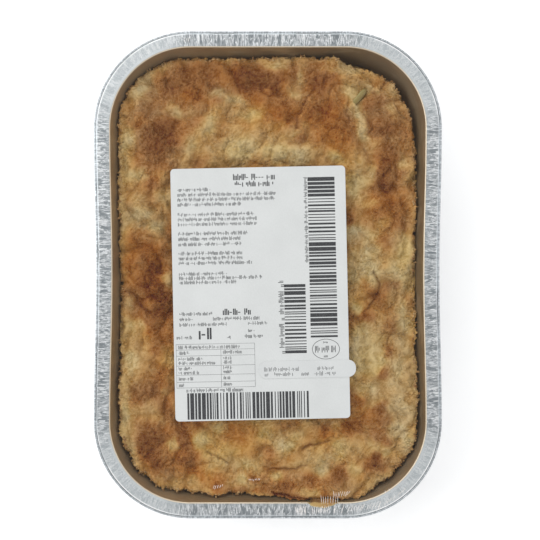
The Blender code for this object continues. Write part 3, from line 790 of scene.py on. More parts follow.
# Where the crust is more orange, or with a minus greyer or greener, the same way
huePatches = (
    (34, 78, 12, 16, 10, 0.60), (11, 85, 6, 6, 0, 0.55), (-8, 86, 12, 8, 0, 0.40),
    (-38, 93, 6, 3, 0, 0.60), (-17, 107, 5, 3, 0, 0.50), (-22, -86, 16, 10, 0, 0.90),
    (-66, -35, 4, 5, 0, 0.80), (-35, -88, 4, 4, 0, 0.90), (50, -45, 8, 6, 0, 0.50),
    (-61, -4, 8, 14, 0, 0.60), (48, -66, 6, 9, 0, 0.60), (44, -79, 7, 4, 0, 0.50),
    (-53, -46, 5, 12, 0, 0.60), (8, -80, 7, 4, 0, 0.50), (66, 36, 10, 5, 0, 0.45),
    (73, 12, 3, 9, 0, 1.20), (47, -12, 6, 7, 0, 0.50), (36, 103, 6, 4, 0, 0.40),
    (-65, 14, 5, 6, 0, 0.50), (-38, -104, 9, 6, 0, 0.50), (-73, 8, 3, 14, 0, 0.40),
    (40, 58, 8, 8, 0, 0.50), (30, -90, 10, 8, 0, 0.35), (57, 90, 12, 10, 0, -0.50),
    (60, 10, 9, 12, 0, -0.20), (-66, 97, 7, 8, 0, -0.70), (-26, 96, 4, 3, 0, -0.60),
    (-66, 28, 7, 5, 0, -0.50), (-48, 86, 4, 4, 0, -0.60), (68, -74, 8, 14, 0, -0.50),
    (69, -42, 5, 12, 0, -0.50), (-69, -45, 6, 14, 0, -0.40), (45, 22, 6, 5, 0, -0.50),
    (49, 78, 3, 10, 14, -0.50), (28, -101, 3, 4, 0, -0.60), (-40, 66, 4, 6, 0, -0.40),
    (-58, 71, 9, 9, 0, -0.25), (-61, -88, 8, 10, 0, -0.25), (66, -6, 7, 4, 0, -0.50),
    (56, -97, 7, 6, 0, -0.30), (-51, 97, 4, 5, 0, -0.20), (60, 72, 8, 10, 0, -0.20),
)
# Wet, greyish spots where the cream shows through, the same way
wetPatches = (
    (-67, 97, 4, 5, -35, 0.6), (-26, 96, 4, 3, 0, 0.8), (30, -97.5, 1.2, 2.6, -15, 0.8),
    (-13, -98, 5, 2.4, 0, 0.5), (-66, 25.8, 4.6, 1.3, 8, 1.0), (70.4, -60, 1.6, 1.6, 0, 0.6),
    (47, -39, 1.8, 1.6, 0, 0.5), (55.5, -35, 2, 2, 0, 0.5), (-57, 85, 4, 3, 0, 0.3),
    (72, -30, 2.4, 7, 0, 0.4),
)


def evenly(values, counted):
    # each value's rank among the counted ones, from 0 to 1
    ordered = np.sort(values[counted])
    return np.searchsorted(ordered, values) / ordered.size


def spread(values, passes):
    # a soft average with the neighbours
    for _ in range(passes):
        padded = np.pad(values, 1, mode="edge")
        values = (padded[:-2, 1:-1] + padded[2:, 1:-1] + padded[1:-1, :-2] + padded[1:-1, 2:]) / 4
    return values


def overlaid(patches, x, y, torn, emphasis):
    # patches with torn edges that cover one another without adding up past 1
    bare = np.ones(x.shape)
    for patch in patches:
        inner = np.clip((overOval(x, y, patch) * torn - 0.08) / 0.72, 0, 1)
        bare *= 1 - patch[5] ** emphasis * inner * inner * (3 - 2 * inner)
    return 1 - bare


def haloes(patches, x, y):
    # the wide soft surroundings of the patches
    total = np.zeros(x.shape)
    for centreX, centreY, halfX, halfY, turn, strength in patches:
        total += strength * overOval(x, y, (centreX, centreY, 2 * halfX + 2, 2 * halfY + 2, turn))
    return total


def underLabel(x, y):
    # the crust that the label hides, left out of the ranking of browning
    halfX, halfY = food["hiddenHalves"]
    return (np.abs(x - labelCentre.x) < halfX) & (np.abs(y - labelCentre.y) < halfY)


def crustColouring(x, y, height, fromEdge):
    # how brown, how orange and how wet the crust is, and how deep in a hollow
    warpX = relief(x, y, 8 * mm, 51.3) * 8 * mm
    warpY = relief(x, y, 8 * mm, 57.7) * 8 * mm
    px = x + 0.14 * warpX + relief(x, y, 2.6 * mm, 53.1) * 2.6 * mm
    py = y + 0.14 * warpY + relief(x, y, 2.6 * mm, 55.9) * 2.6 * mm
    brown = 0.22 * relief(x + warpX, y + warpY, 17 * mm, 61.1) + 0.12 * relief(px, py, 8 * mm, 63.9)
    brown += 0.08 * relief(x + 0.6 * warpY, y - 0.6 * warpX, 3.6 * mm, 66.1)
    brown += 0.04 * relief(px, py, 1.7 * mm, 68.3)
    torn = 1 + 0.9 * relief(px, py, 4.5 * mm, 71.9) + 0.5 * relief(x, y, 1.9 * mm, 72.7)
    brown += 0.8 * overlaid(brownAndShadowPatches, px, py, torn, 1.4)
    brown -= 0.6 * overlaid(palePatches, px, py, torn, 1.0)
    brown += 0.16 * haloes(brownAndShadowPatches, px, py) - 0.16 * haloes(palePatches, px, py)
    reach = 4.4 * mm * (1 + 1.2 * relief(x, y, 9 * mm, 74.7) - 0.25 * np.sign(x))
    fringe = np.clip(1.1 - fromEdge / np.maximum(reach, 1.2 * mm), 0, 1)
    brown -= 0.12 * fringe
    hollow = (spread(height, 8) - height) / (0.5 * mm) + (spread(height, 54) - height) / (3 * mm)
    warmth = 0.5 + 0.5 * relief(x - 0.5 * warpY, y + 0.5 * warpX, 11 * mm, 77.1)
    warmth += 0.4 * relief(px, py, 4 * mm, 79.5) + 0.15 * fringe
    for patch in huePatches:
        warmth += 0.9 * patch[5] * overOval(px, py, patch)
    wet = np.zeros(x.shape)
    for patch in wetPatches:
        wet = np.maximum(wet, patch[5] * overOval(px, py, patch))
    ranked = evenly(spread(brown, 5), ~underLabel(x, y))
    warmth = spread(warmth, 4)
    return ranked, np.clip(warmth, 0, 1), wet, np.clip(0.5 + 0.5 * hollow, 0, 1)


def gridLines(half):
    inner = half - food["edgeCells"][-1]
    cells = 2 * round(inner / food["cell"])
    even = np.linspace(-inner, inner, cells + 1)
    fine = half - np.array([0.0, *food["edgeCells"][:-1]])
    return np.concatenate((-fine, even, fine[::-1]))


def gridFaces(countX, countY):
    corner = np.arange(countX * countY).reshape(countX, countY)
    quads = np.stack((corner[:-1, :-1], corner[1:, :-1], corner[1:, 1:], corner[:-1, 1:]), -1)
    return quads.reshape(-1, 4).tolist()


def gridEdge(countX, countY):
    # the grid's outer points in order, anticlockwise from above
    edge = [(i, 0) for i in range(countX - 1)]
    edge += [(countX - 1, j) for j in range(countY - 1)]
    edge += [(i, countY - 1) for i in range(countX - 1, 0, -1)]
    edge += [(0, j) for j in range(countY - 1, 0, -1)]
    return np.array(edge)


def sheetMesh(name, upper, lower, countX, countY):
    # a thin sheet from two grids of points, closed round its edge
    total = countX * countY
    grid = gridFaces(countX, countY)
    faces = grid + [[total + i for i in reversed(face)] for face in grid]
    edge = gridEdge(countX, countY)
    ring = edge[:, 0] * countY + edge[:, 1]
    after = np.roll(ring, -1)
    faces += np.column_stack((ring, total + ring, total + after, after)).tolist()
    return meshOf(name, np.concatenate((upper, lower)), faces)


def wallRing(inset, level, shareX, shareY):
    # a level ring of points that follows the tray's wall
    outline = Outline(inset)
    x, y = outline.bowed(*outline.rounded(shareX * outline.halfX, shareY * outline.halfY))
    return np.column_stack((x, y, np.full(len(x), level)))


def sideRings(topRing, shareX, shareY):
    # the food's side in rings, from under the crust down to the floor
    floor, curve, gap = foodLow.z, foilTray["floorRadius"], food["wallGap"]
    lower = (
        (food["sideTop"], wallInset(food["sideTop"]) + gap),
        (floor + curve, wallInset(floor + curve) + gap),
        (floor + 0.3 * curve, wallInset(floor) + gap + 0.28 * curve),
        (floor, wallInset(floor) + gap + 0.95 * curve),
    )
    rings = [wallRing(inset, level, shareX, shareY) for level, inset in lower]
    # where the crust is close to the wall, sauce fills the gap up to a higher level
    sauceInset = wallInset(food["sauceTop"]) + gap * 0.3
    sauce = wallRing(sauceInset, food["sauceTop"], shareX, shareY)
    apart = np.hypot(sauce[:, 0] - topRing[:, 0], sauce[:, 1] - topRing[:, 1])
    close = np.clip(2.2 - apart / mm, 0, 1)[:, None]
    sauceShare = food["sauceShare"]
    upper = []
    for share in food["sideShares"]:
        if share > sauceShare:
            lowerShare = (share - sauceShare) / (1 - sauceShare)
            target = sauce * (1 - lowerShare) + rings[0] * lowerShare
        else:
            reached = share / sauceShare
            target = topRing * (1 - reached) + sauce * reached
        ring = topRing * (1 - share) + rings[0] * share
        ring = ring * (1 - close) + target * close
        pit = np.abs(relief(ring[:, 0] + ring[:, 2], ring[:, 1], 2.2 * mm, 31.5)) * food["pitDepth"]
        away = ring[:, :2] / np.hypot(ring[:, 0], ring[:, 1])[:, None]
        ring[:, :2] -= away * pit[:, None]
        upper.append(ring)
    return upper + rings


def makeGratin(material):
    outline = Outline(wallInset(food["level"]))
    linesX, linesY = gridLines(outline.halfX), gridLines(outline.halfY)
    gridX, gridY = np.meshgrid(linesX, linesY, indexing="ij")
    x, y = outline.rounded(gridX, gridY)
    outX, outY, reach = outline.outwards(x, y)
    fromEdge = outline.radius - reach
    curls, lumps, crumb = fineRelief(x, y)
    main, puff = mainRelief(x, y)
    crease = creasesAt(x, y, puff)
    height = main + (curls - 0.5) * food["curlHeight"] + lumps * food["lumpHeight"]
    height += crumb * food["crumbHeight"] - crease * food["creaseDepth"]
    height = underFilm(height)
    rounding = np.clip(1 - fromEdge / food["edgeRadius"], 0, 1)
    drop = food["edgeDrop"] * (1 - np.sqrt(1 - rounding * rounding))
    height -= drop * (1 - 0.5 * overOval(x, y, bulge))
    fade = np.clip(1 - fromEdge / food["edgeReach"], 0, 1)
    teeth = np.abs(relief(x, y, 1.3 * mm, 27.7)) + 0.8 * np.abs(relief(x, y, 2.9 * mm, 29.3))
    shaggy = (teeth - 0.3) * food["toothDepth"] * np.clip(1 - fromEdge / food["toothReach"], 0, 1)
    inwards = (edgeGap(x, y) + (food["level"] - height) * wallSlope) * fade + shaggy
    topX, topY = outline.bowed(x - outX / reach * inwards, y - outY / reach * inwards)
    layers = crustColouring(x, y, height, fromEdge)

    points = [np.column_stack((topX.ravel(), topY.ravel(), height.ravel()))]
    countX, countY = len(linesX), len(linesY)
    faces = gridFaces(countX, countY)
    edge = gridEdge(countX, countY)
    upper = edge[:, 0] * countY + edge[:, 1]
    total = countX * countY
    shareX = linesX[edge[:, 0]] / outline.halfX
    shareY = linesY[edge[:, 1]] / outline.halfY
    for ring in sideRings(points[0][upper], shareX, shareY):
        points.append(ring)
        lowerRing = total + np.arange(len(edge))
        total += len(edge)
        after = np.roll(np.arange(len(edge)), -1)
        faces += np.column_stack((upper, lowerRing, lowerRing[after], upper[after])).tolist()
        upper = lowerRing
    faces.append(upper[::-1].tolist())
    mesh = meshOf("gratin", np.concatenate(points), faces)
    sides = np.full(total - countX * countY, 1.0)
    # painted shade and light: how far each point stands above or below its neighbours
    wrinkle = (height - spread(height, 6)) / (0.30 * mm) + 0.5
    layers = (*layers, crease, np.clip(wrinkle, 0, 1), fromEdge)
    levels = (0.12, 0.8, 0.1, 0.5, 0.0, 0.5, -1.0)
    names = ("browning", "warmth", "wet", "hollow", "crease", "wrinkle", "fromEdge")
    for name, layer, level in zip(names, layers, levels):
        setAttribute(mesh, name, np.concatenate((layer.ravel(), sides * level)))
    return addObject("browned_gratin", mesh, material)


# What the tray's light does to a colour under the film, found by comparing renders with the photograph
crustLight = {"share": 0.79, "haze": 0.024}


def crustTone(red, green, blue):
    # the colour to paint so that the crust shows as this one
    linear = tone(red, green, blue)
    return tuple(min(max(v - crustLight["haze"], 0.002) / crustLight["share"], 1.0) for v in linear)


# Colour from the palest to the brownest, for the drier and the more orange parts
tanTones = (
    (0.00, crustTone(176, 157, 120)),
    (0.08, crustTone(171, 147, 108)),
    (0.28, crustTone(166, 138, 97)),
    (0.50, crustTone(157, 126, 86)),
    (0.74, crustTone(145, 111, 76)),
    (0.92, crustTone(131, 95, 63)),
    (1.00, crustTone(112, 76, 50)),
)
orangeTones = (
    (0.00, crustTone(178, 153, 104)),
    (0.08, crustTone(175, 144, 91)),
    (0.28, crustTone(170, 131, 78)),
    (0.50, crustTone(162, 118, 68)),
    (0.74, crustTone(151, 100, 55)),
    (0.92, crustTone(130, 84, 49)),
    (1.00, crustTone(109, 68, 42)),
)


def crustMaterial():
    paint = Paint("bakedCrust")
    place = paint.place()
    brown = paint.attribute("browning")
    warmth = paint.attribute("warmth")
    speckle = paint.grain(place, 1000, detail=1.0, rough=0.6)
    strands = paint.grain(paint.stretched(place, (1.0, 0.6, 1.0)), 230, detail=0.6, rough=0.5, distort=1.6)
    threads = paint.grain(paint.stretched(place, (0.6, 1.0, 1.0)), 400, detail=0.5, rough=0.5, distort=1.6)
    blotch = paint.grain(place, 190, detail=2.0, rough=0.5, distort=1.2)
    folded = paint.between(paint.grain(place, 85, detail=1.0), 0.38, 0.58)
    ridges = paint.ridge(strands, 0.024) * folded
    finer = paint.ridge(threads, 0.024) * folded
    grainy = 0.14 + paint.between(paint.grain(place, 120, detail=1.0), 0.42, 0.66) * 0.24
    shade = paint.clamp(brown + (strands - 0.5) * 0.08 + (blotch - 0.5) * 0.12)
    colour = paint.mix(warmth, paint.ramp(shade, tanTones), paint.ramp(shade, orangeTones))
    colour = paint.mix(paint.attribute("wet") * 0.6, colour, crustTone(138, 121, 88))
    # painted shade: the creases are darkened, as shade falls in them
    colour = paint.mix(paint.attribute("crease") * 0.62, colour, crustTone(92, 60, 34))
    deep = paint.between(paint.attribute("hollow"), 0.55, 1.0)
    proud = paint.between(paint.attribute("hollow"), 0.45, 0.0)
    # the fine marks change how light the skin is, not its hue; the wrinkle term is painted shade in the
    # hollows and painted light on the rises of the relief
    pores = paint.between(paint.cells(place, 620), 0.15, 0.05)
    pebbles = (paint.cells(place, 900) - 0.45) * paint.between(brown, 0.6, 0.95)
    wrinkle = paint.attribute("wrinkle") - 0.5
    light = (speckle - 0.5) * grainy + ridges * 0.29 - finer * 0.20 - pebbles * 0.18 - pores * 0.18
    light = light + wrinkle * 0.24 + deep * 0.05 - proud * 0.05 + 0.003
    veil = paint.node("ShaderNodeGamma", None, {"Color": colour, "Gamma": 0.50})
    colour = paint.mix(1.0, colour, paint.mix(1.0, veil, light, "MULTIPLY"), "ADD")
    glaze = paint.grain(place, 160, detail=2.0)
    rough = 0.60 - glaze * 0.24 - paint.attribute("wet") * 0.2
    height = ridges * 0.7 - finer * 0.4 + speckle * 0.5 + strands * 0.3 - pores * 0.2 - pebbles * 0.5
    bump = paint.bump(height, 0.55 * mm, 0.9)
    sockets = {"Base_Color": colour, "Roughness": rough, "Normal": bump, "Specular_IOR_Level": 0.16}
    return paint.finish(paint.principled(**sockets))


def makeSlice(material):
    shape = bmesh.new()
    bmesh.ops.create_uvsphere(shape, u_segments=32, v_segments=16, radius=1.0)
    size = (potatoSlice["length"] / 2, potatoSlice["width"] / 2, potatoSlice["height"] / 2)
    for vert in shape.verts:
        for axis in range(3):
            along = vert.co[axis]
            vert.co[axis] = math.copysign(abs(along) ** potatoSlice["roundness"], along) * size[axis]
    middle = (sliceLow + sliceHigh) / 2
    turn = Matrix.Rotation(math.radians(potatoSlice["turn"]), 4, "Z")
    bmesh.ops.transform(shape, matrix=Matrix.Translation(middle) @ turn, verts=shape.verts)
    for vert in shape.verts:
        vert.co.z += noise.noise(vert.co / (1.8 * mm)) * 0.18 * mm
    mesh = bpy.data.meshes.new("potatoSlice")
    shape.to_mesh(mesh)
    shape.free()
    mesh.shade_smooth()
    return addObject("potato_slice_edge", mesh, material)


def potatoMaterial():
    paint = Paint("cookedPotato")
    place = paint.place()
    cloud = paint.grain(place, 420, detail=3.0)
    turn = math.radians(potatoSlice["turn"])
    middle = (sliceLow + sliceHigh) / 2
    # painted shade: the slice is darker towards its right side, where its shadow falls
    apart = paint.vector("SUBTRACT", place, tuple(middle))
    side = paint.vector("MULTIPLY", apart, (math.sin(turn), -math.cos(turn), 0.0))
    flat = paint.node("ShaderNodeSeparateXYZ", None, {0: side})
    right = paint.out(flat, 0) + paint.out(flat, 1)
    shade = right / potatoSlice["width"] + 0.5 + (cloud - 0.5) * 0.5
    colour = paint.ramp(shade, (
        (0.0, crustTone(146, 134, 88)), (0.25, crustTone(131, 117, 74)), (0.6, crustTone(124, 108, 68)),
        (0.85, crustTone(110, 94, 58)),
    ))
    bump = paint.bump(paint.grain(place, 1400, detail=2.0), 0.1 * mm, 0.5)
    return paint.finish(paint.principled(Base_Color=colour, Roughness=0.45, Normal=bump))


print("making the tray and the food")
tray = makeTray(foilMaterial())
gratin = makeGratin(crustMaterial())
slicePiece = makeSlice(potatoMaterial())

# Film over the flange
film = {
    "inset": 2.0 * mm,
    "cell": 1.6 * mm,
    "thickness": filmHigh.z - filmLow.z,
    "bulge": 0.25 * mm,
}


def filmHeight(x, y):
    # drawn tight, and pushed up where the food bulges
    return filmHigh.z + film["bulge"] * overOval(x, y, bulge)


def makeFilm(material):
    outline = Outline(film["inset"])
    linesX = np.linspace(-outline.halfX, outline.halfX, round(2 * outline.halfX / film["cell"]) + 1)
    linesY = np.linspace(-outline.halfY, outline.halfY, round(2 * outline.halfY / film["cell"]) + 1)
    gridX, gridY = np.meshgrid(linesX, linesY, indexing="ij")
    x, y = outline.rounded(gridX, gridY)
    top = filmHeight(x, y)
    x, y = outline.bowed(x, y)
    upper = np.column_stack((x.ravel(), y.ravel(), top.ravel()))
    lower = upper - (0, 0, film["thickness"] * 0.5)
    mesh = sheetMesh("clearFilm", upper, lower, len(linesX), len(linesY))
    return addObject("clear_film", mesh, material)


def filmMaterial():
    paint = Paint("clearFilm")
    gloss = paint.principled(Base_Color=(0.9, 0.9, 0.9), Roughness=0.12, Specular_IOR_Level=0.5)
    clear = paint.out(paint.node("ShaderNodeBsdfTransparent", None, {"Color": (0.985, 0.987, 0.985)}))
    facing = paint.out(paint.node("ShaderNodeFresnel", None, {"IOR": 1.25}))
    facing = facing * (1.0 - paint.out(paint.node("ShaderNodeNewGeometry"), "Backfacing"))
    shown = paint.node("ShaderNodeMixShader", None, {0: facing, 1: clear, 2: gloss})
    return paint.finish(paint.out(shown))


clearFilm = makeFilm(filmMaterial())


# Small grains set by points: crumbs on the crust's edge and glints in the film's wrinkles
def grainTree():
    # stands a grain on every point, sized and turned as its attributes say, then roughens it
    tree = Growth("grains", {"Roughening": "Float", "Material": "Material"})
    grain = tree.node("GeometryNodeMeshIcoSphere", None, {"Radius": 0.5, "Subdivisions": 2})
    turn = tree.named("grainTurn", "FLOAT_VECTOR")
    rotation = tree.node("FunctionNodeEulerToRotation", None, {0: turn})
    sockets = {"Points": tree.given(), "Instance": grain, "Rotation": rotation}
    sockets["Scale"] = tree.named("grainSize", "FLOAT_VECTOR")
    placed = tree.node("GeometryNodeInstanceOnPoints", None, sockets)
    real = tree.node("GeometryNodeRealizeInstances", None, {0: placed})
    place = tree.out(tree.node("GeometryNodeInputPosition"))
    lumps = tree.node("ShaderNodeTexNoise", None, {"Vector": place, "Scale": 1500.0, "Detail": 1.0})
    push = tree.vector("SUBTRACT", tree.out(lumps, "Color"), (0.5, 0.5, 0.5))
    sockets = {0: push, "Scale": tree.given("Roughening")}
    shift = tree.node("ShaderNodeVectorMath", {"operation": "SCALE"}, sockets)
    return tree.finish(tree.node("GeometryNodeSetPosition", None, {"Geometry": real, "Offset": shift}))


def makeGrains(name, points, sizes, turns, roughening, material):
    mesh = meshOf(name, points)
    setAttribute(mesh, "grainSize", sizes, "FLOAT_VECTOR")
    setAttribute(mesh, "grainTurn", turns, "FLOAT_VECTOR")
    return grow(name, grainTree(), mesh, {"Roughening": roughening, "Material": material})


crumbs = {
    "count": 1500,
    "reach": 2.6 * mm,
    "smallest": 0.35 * mm,
    "largest": 1.35 * mm,
    "outwards": 0.7 * mm,
    "downwards": 1.6 * mm,
    "roughening": 0.35 * mm,
}
# Crumbs that fell on the wall: x, y, size in mm
fallenCrumbs = ((55.3, -111.0, 1.0), (57.2, -106.6, 0.7), (54.2, 107.2, 0.6), (61.5, -104.5, 0.5))


def makeCrumbs(mesh, material):
    chance = np.random.default_rng(19)
    count = len(mesh.vertices)
    places = np.empty(count * 3)
    mesh.vertices.foreach_get("co", places)
    places = places.reshape(-1, 3)
    fromEdge = np.empty(count)
    mesh.attributes["fromEdge"].data.foreach_get("value", fromEdge)
    saucy = (places[:, 1] < -109 * mm) & (places[:, 0] > -8 * mm) & (places[:, 0] < 42 * mm)
    near = np.flatnonzero((fromEdge >= 0) & (fromEdge < crumbs["reach"]) & ~saucy)
    near = chance.choice(near, crumbs["count"], replace=False)
    points = places[near]
    outline = Outline(wallInset(food["level"]))
    outX, outY, reach = outline.outwards(points[:, 0], points[:, 1])
    away = np.where(fromEdge[near] < 0.8 * mm, chance.random(len(near)), 0.0)
    points[:, 0] += outX / reach * away * crumbs["outwards"]
    points[:, 1] += outY / reach * away * crumbs["outwards"]
    points[:, 2] -= away * chance.random(len(near)) * crumbs["downwards"]
    size = crumbs["smallest"] + (crumbs["largest"] - crumbs["smallest"]) * chance.random(len(near)) ** 2.5
    sizes = size[:, None] * chance.uniform(0.7, 1.3, (len(near), 3))
    for x, y, across in fallenCrumbs:
        inset = foilTray["cornerRadius"] - Outline(0.0).outwards(np.array([x * mm]), np.array([y * mm]))[2][0]
        height = foilTray["height"] - (inset - wallInset(foilTray["height"])) / wallSlope
        points = np.vstack((points, (x * mm, y * mm, height)))
        sizes = np.vstack((sizes, (across * mm,) * 3))
    turns = chance.uniform(0, 2 * math.pi, (len(points), 3))
    return makeGrains("crust_crumbs", points, sizes, turns, crumbs["roughening"], material)


def crumbMaterial():
    paint = Paint("crustCrumbs")
    place = paint.place()
    cloud = paint.between(paint.grain(place, 300, detail=2.0), 0.3, 0.7)
    colour = paint.mix(cloud, crustTone(134, 98, 62), crustTone(172, 143, 102))
    bump = paint.bump(paint.grain(place, 2400, detail=1.0), 0.1 * mm, 0.5)
    return paint.finish(paint.principled(Base_Color=colour, Roughness=0.6, Normal=bump))


# Rows of glints: x, y, length, width in mm, lean to the right in degrees, count, steps in x, y and lean
glintRows = (
    (27.4, -116.0, 5.0, 0.18, -3, 8, 1.22, 0.02, 1.2), (34.0, -112.9, 3.6, 0.22, -8, 8, 1.06, 0.03, 6.5),
    (14.6, -121.2, 5.6, 0.28, -14, 7, 0.8, 0.0, 2.0), (23.0, -121.4, 4.6, 0.26, 4, 9, 1.0, 0.1, 1.5),
    (34.5, -120.8, 6.8, 0.34, 3, 2, 4.1, 0.0, 14.0), (41.6, -120.6, 4.4, 0.22, 20, 5, 1.6, 0.2, 2.0),
    (49.0, -120.0, 5.4, 0.30, 28, 1, 0, 0, 0), (57.5, -119.0, 5.8, 0.36, 18, 1, 0, 0, 0),
    (51.5, -119.6, 4.4, 0.22, 26, 4, 1.4, 0.3, 1.0), (60.5, -117.6, 4.0, 0.22, 24, 4, 1.5, 0.9, 2.0),
    (67.5, -113.5, 3.2, 0.24, 28, 3, 1.4, 1.3, 4.0),
    (-28.0, -109.4, 2.2, 0.22, 24, 5, 1.1, 0.15, -3.0), (-9.8, -105.8, 1.1, 0.24, 0, 8, 0.78, 0.06, 2.0),
    (-43.2, 121.0, 3.0, 0.26, 4, 3, 1.3, 0.2, 3.0), (60.5, -112.0, 2.4, 0.22, -20, 2, 2.2, 1.2, -6.0),
)


def makeGlints(material):
    chance = random.Random(23)
    points, sizes, turns = [], [], []
    for x, y, length, width, lean, count, stepX, stepY, stepLean in glintRows:
        for i in range(count):
            placeX = (x + i * stepX + chance.uniform(-0.18, 0.18)) * mm
            placeY = (y + i * stepY + chance.uniform(-0.3, 0.3)) * mm
            top = float(filmHeight(np.array([placeX]), np.array([placeY]))[0])
            points.append((placeX, placeY, top))
            share = chance.uniform(0.65, 1.1)
            sizes.append((width * mm, length * share * mm, 0.06 * mm))
            turns.append((0.0, 0.0, -math.radians(lean + i * stepLean + chance.uniform(-4, 4))))
    return makeGrains("film_glints", points, sizes, turns, 0.0, material)


def glintMaterial():
    paint = Paint("filmGlints")
    cloud = paint.grain(paint.place(), 900, detail=1.0)
    white = paint.principled(
        Base_Color=(0.95, 0.90, 0.86), Roughness=0.3, Emission_Color=(1.0, 0.97, 0.94), Emission_Strength=0.12
    )
    clear = paint.out(paint.node("ShaderNodeBsdfTransparent"))
    share = paint.between(cloud, 0.30, 0.62) * 0.5 + 0.35
    shown = paint.node("ShaderNodeMixShader", None, {0: share, 1: clear, 2: white})
    return paint.finish(paint.out(shown))


# Sauce pressed out under the film over the flange
leak = {
    "centre": (28.4 * mm, -116.4 * mm),
    "halves": (8.4 * mm, 3.5 * mm),
    "steps": 120,
    "rings": 9,
    "deepest": 0.5 * mm,
    "belowFilm": 0.03 * mm,
}


def makeLeak(material):
    angles = np.linspace(0, 2 * math.pi, leak["steps"] + 1)[:-1]
    circleX, circleY = np.cos(angles), np.sin(angles)
    reach = 1 + 0.22 * relief(circleX, circleY, 0.7, 5.3) + 0.10 * relief(circleX, circleY, 0.22, 6.1)
    centreX, centreY = leak["centre"]
    halfX, halfY = leak["halves"]
    tops, bases, rims = [], [], []
    for ring in range(leak["rings"] + 1):
        share = ring / leak["rings"]
        x = centreX + circleX * reach * halfX * share
        y = centreY + circleY * reach * halfY * share
        top = filmHeight(x, y) - 0.5 * film["thickness"] - leak["belowFilm"] - 0.12 * mm * share ** 4
        depth = leak["deepest"] * (1 - share ** 3)
        onFlange = np.clip((centreY - 0.6 * mm - y) / (0.6 * mm), 0, 1)
        base = np.maximum(top - depth - 0.02 * mm, (foilTray["height"] + 0.01 * mm) * onFlange)
        tops.append(np.column_stack((x, y, top)))
        bases.append(np.column_stack((x, y, np.minimum(base, top - 0.01 * mm))))
        rims.append(np.full(len(x), share))
    steps = leak["steps"]
    points = [tops[0][:1], *tops[1:], bases[0][:1], *bases[1:]]
    after = np.roll(np.arange(steps), -1)
    faces = []
    lowerStart = 1 + steps * leak["rings"]
    for start, flip in ((0, False), (lowerStart, True)):
        for i in range(steps):
            fan = [start, start + 1 + i, start + 1 + int(after[i])]
            faces.append(fan[::-1] if flip else fan)
            for ring in range(leak["rings"] - 1):
                near, far = start + 1 + ring * steps, start + 1 + (ring + 1) * steps
                quad = [near + i, far + i, far + int(after[i]), near + int(after[i])]
                faces.append(quad[::-1] if flip else quad)
    outer = 1 + (leak["rings"] - 1) * steps
    for i in range(steps):
        low, high = lowerStart + outer + i, outer + i
        faces.append([high, low, lowerStart + outer + int(after[i]), outer + int(after[i])])
    mesh = meshOf("sauceLeak", np.concatenate(points), faces)
    rim = np.concatenate((rims[0][:1], *rims[1:]))
    setAttribute(mesh, "rim", np.concatenate((rim, rim)))
    return addObject("sauce_leak", mesh, material)


def leakMaterial():
    paint = Paint("pressedSauce")
    place = paint.place()
    cloud = paint.grain(place, 500, detail=2.0)
    ragged = paint.along(place, 1) + (cloud - 0.5) * 1.6 * mm
    outer = paint.between(ragged, -116.9 * mm, -117.9 * mm)
    colour = paint.mix(outer, crustTone(104, 74, 46), crustTone(170, 140, 92))
    colour = paint.mix(paint.between(cloud, 0.52, 0.72) * 0.5, colour, crustTone(138, 108, 70))
    rightEnd = paint.between(paint.along(place, 0), 25 * mm, 32 * mm)
    colour = paint.mix(rightEnd * 0.6, colour, crustTone(146, 106, 66))
    edge = paint.between(paint.attribute("rim"), 0.84, 1.0)
    colour = paint.mix(edge * outer * 0.9, colour, crustTone(190, 174, 132))
    sauce = paint.principled(Base_Color=colour, Roughness=0.35)
    clear = paint.out(paint.node("ShaderNodeBsdfTransparent"))
    tapered = paint.between(paint.attribute("rim"), 0.95, 0.55)
    covers = paint.between(ragged, -114.6 * mm, -115.8 * mm) * (outer + (1.0 - outer) * tapered)
    return paint.finish(paint.out(paint.node("ShaderNodeMixShader", None, {0: covers, 1: clear, 2: sauce})))


crustCrumbs = makeCrumbs(gratin.data, crumbMaterial())
filmGlints = makeGlints(glintMaterial())
sauceLeak = makeLeak(leakMaterial())

# Paper label and the sticker on it: u runs right and v down from the label's top left corner, in mm
paper = {
    "width": 90.0,
    "length": 130.0,
    "corner": 2.0,
    "turn": math.radians(1.2),
    "cell": 2.0,
    "wave": 0.06 * mm,
    "inkHeight": 0.03 * mm,
}
sticker = {"length": 50.1, "width": 8.9, "corner": 4.1}


def paperWave(x, y):
    return relief(np.asarray(x), np.asarray(y), 28 * mm, 91.7) * paper["wave"]


def turnedWithPaper(centre, across, up):
    # a place measured from a centre along the turned paper's sides, as x and y in the frame
    cosine, sine = math.cos(paper["turn"]), math.sin(paper["turn"])
    return centre.x + across * cosine - up * sine, centre.y + across * sine + up * cosine


def onPaper(u, v):
    # a place on the label, as x and y in the frame
    across, up = np.asarray(u) - paper["width"] / 2, paper["length"] / 2 - np.asarray(v)
    return turnedWithPaper(labelCentre, across * mm, up * mm)


def paperSheet(name, width, length, corner, centre, low, high, material):
    # a thin sheet with round corners, gently waved
    linesU = np.linspace(-width / 2, width / 2, max(3, round(width / paper["cell"]) + 1))
    linesV = np.linspace(-length / 2, length / 2, max(3, round(length / paper["cell"]) + 1))
    extra = corner * np.array([0.15, 0.4, 0.7])
    linesU = np.unique(np.concatenate((linesU, width / 2 - extra, extra - width / 2)))
    linesV = np.unique(np.concatenate((linesV, length / 2 - extra, extra - length / 2)))
    gridU, gridV = np.meshgrid(linesU, linesV, indexing="ij")
    u, v = roundedGrid(gridU, gridV, width / 2, length / 2, corner)
    x, y = turnedWithPaper(centre, u * mm, v * mm)
    wave = paperWave(x, y)
    upper = np.column_stack((x.ravel(), y.ravel(), (wave + high).ravel()))
    lower = np.column_stack((x.ravel(), y.ravel(), (wave + low).ravel()))
    mesh = sheetMesh(name, upper, lower, len(linesU), len(linesV))
    mesh.set_sharp_from_angle(angle=math.radians(40))
    return addObject(name, mesh, material)


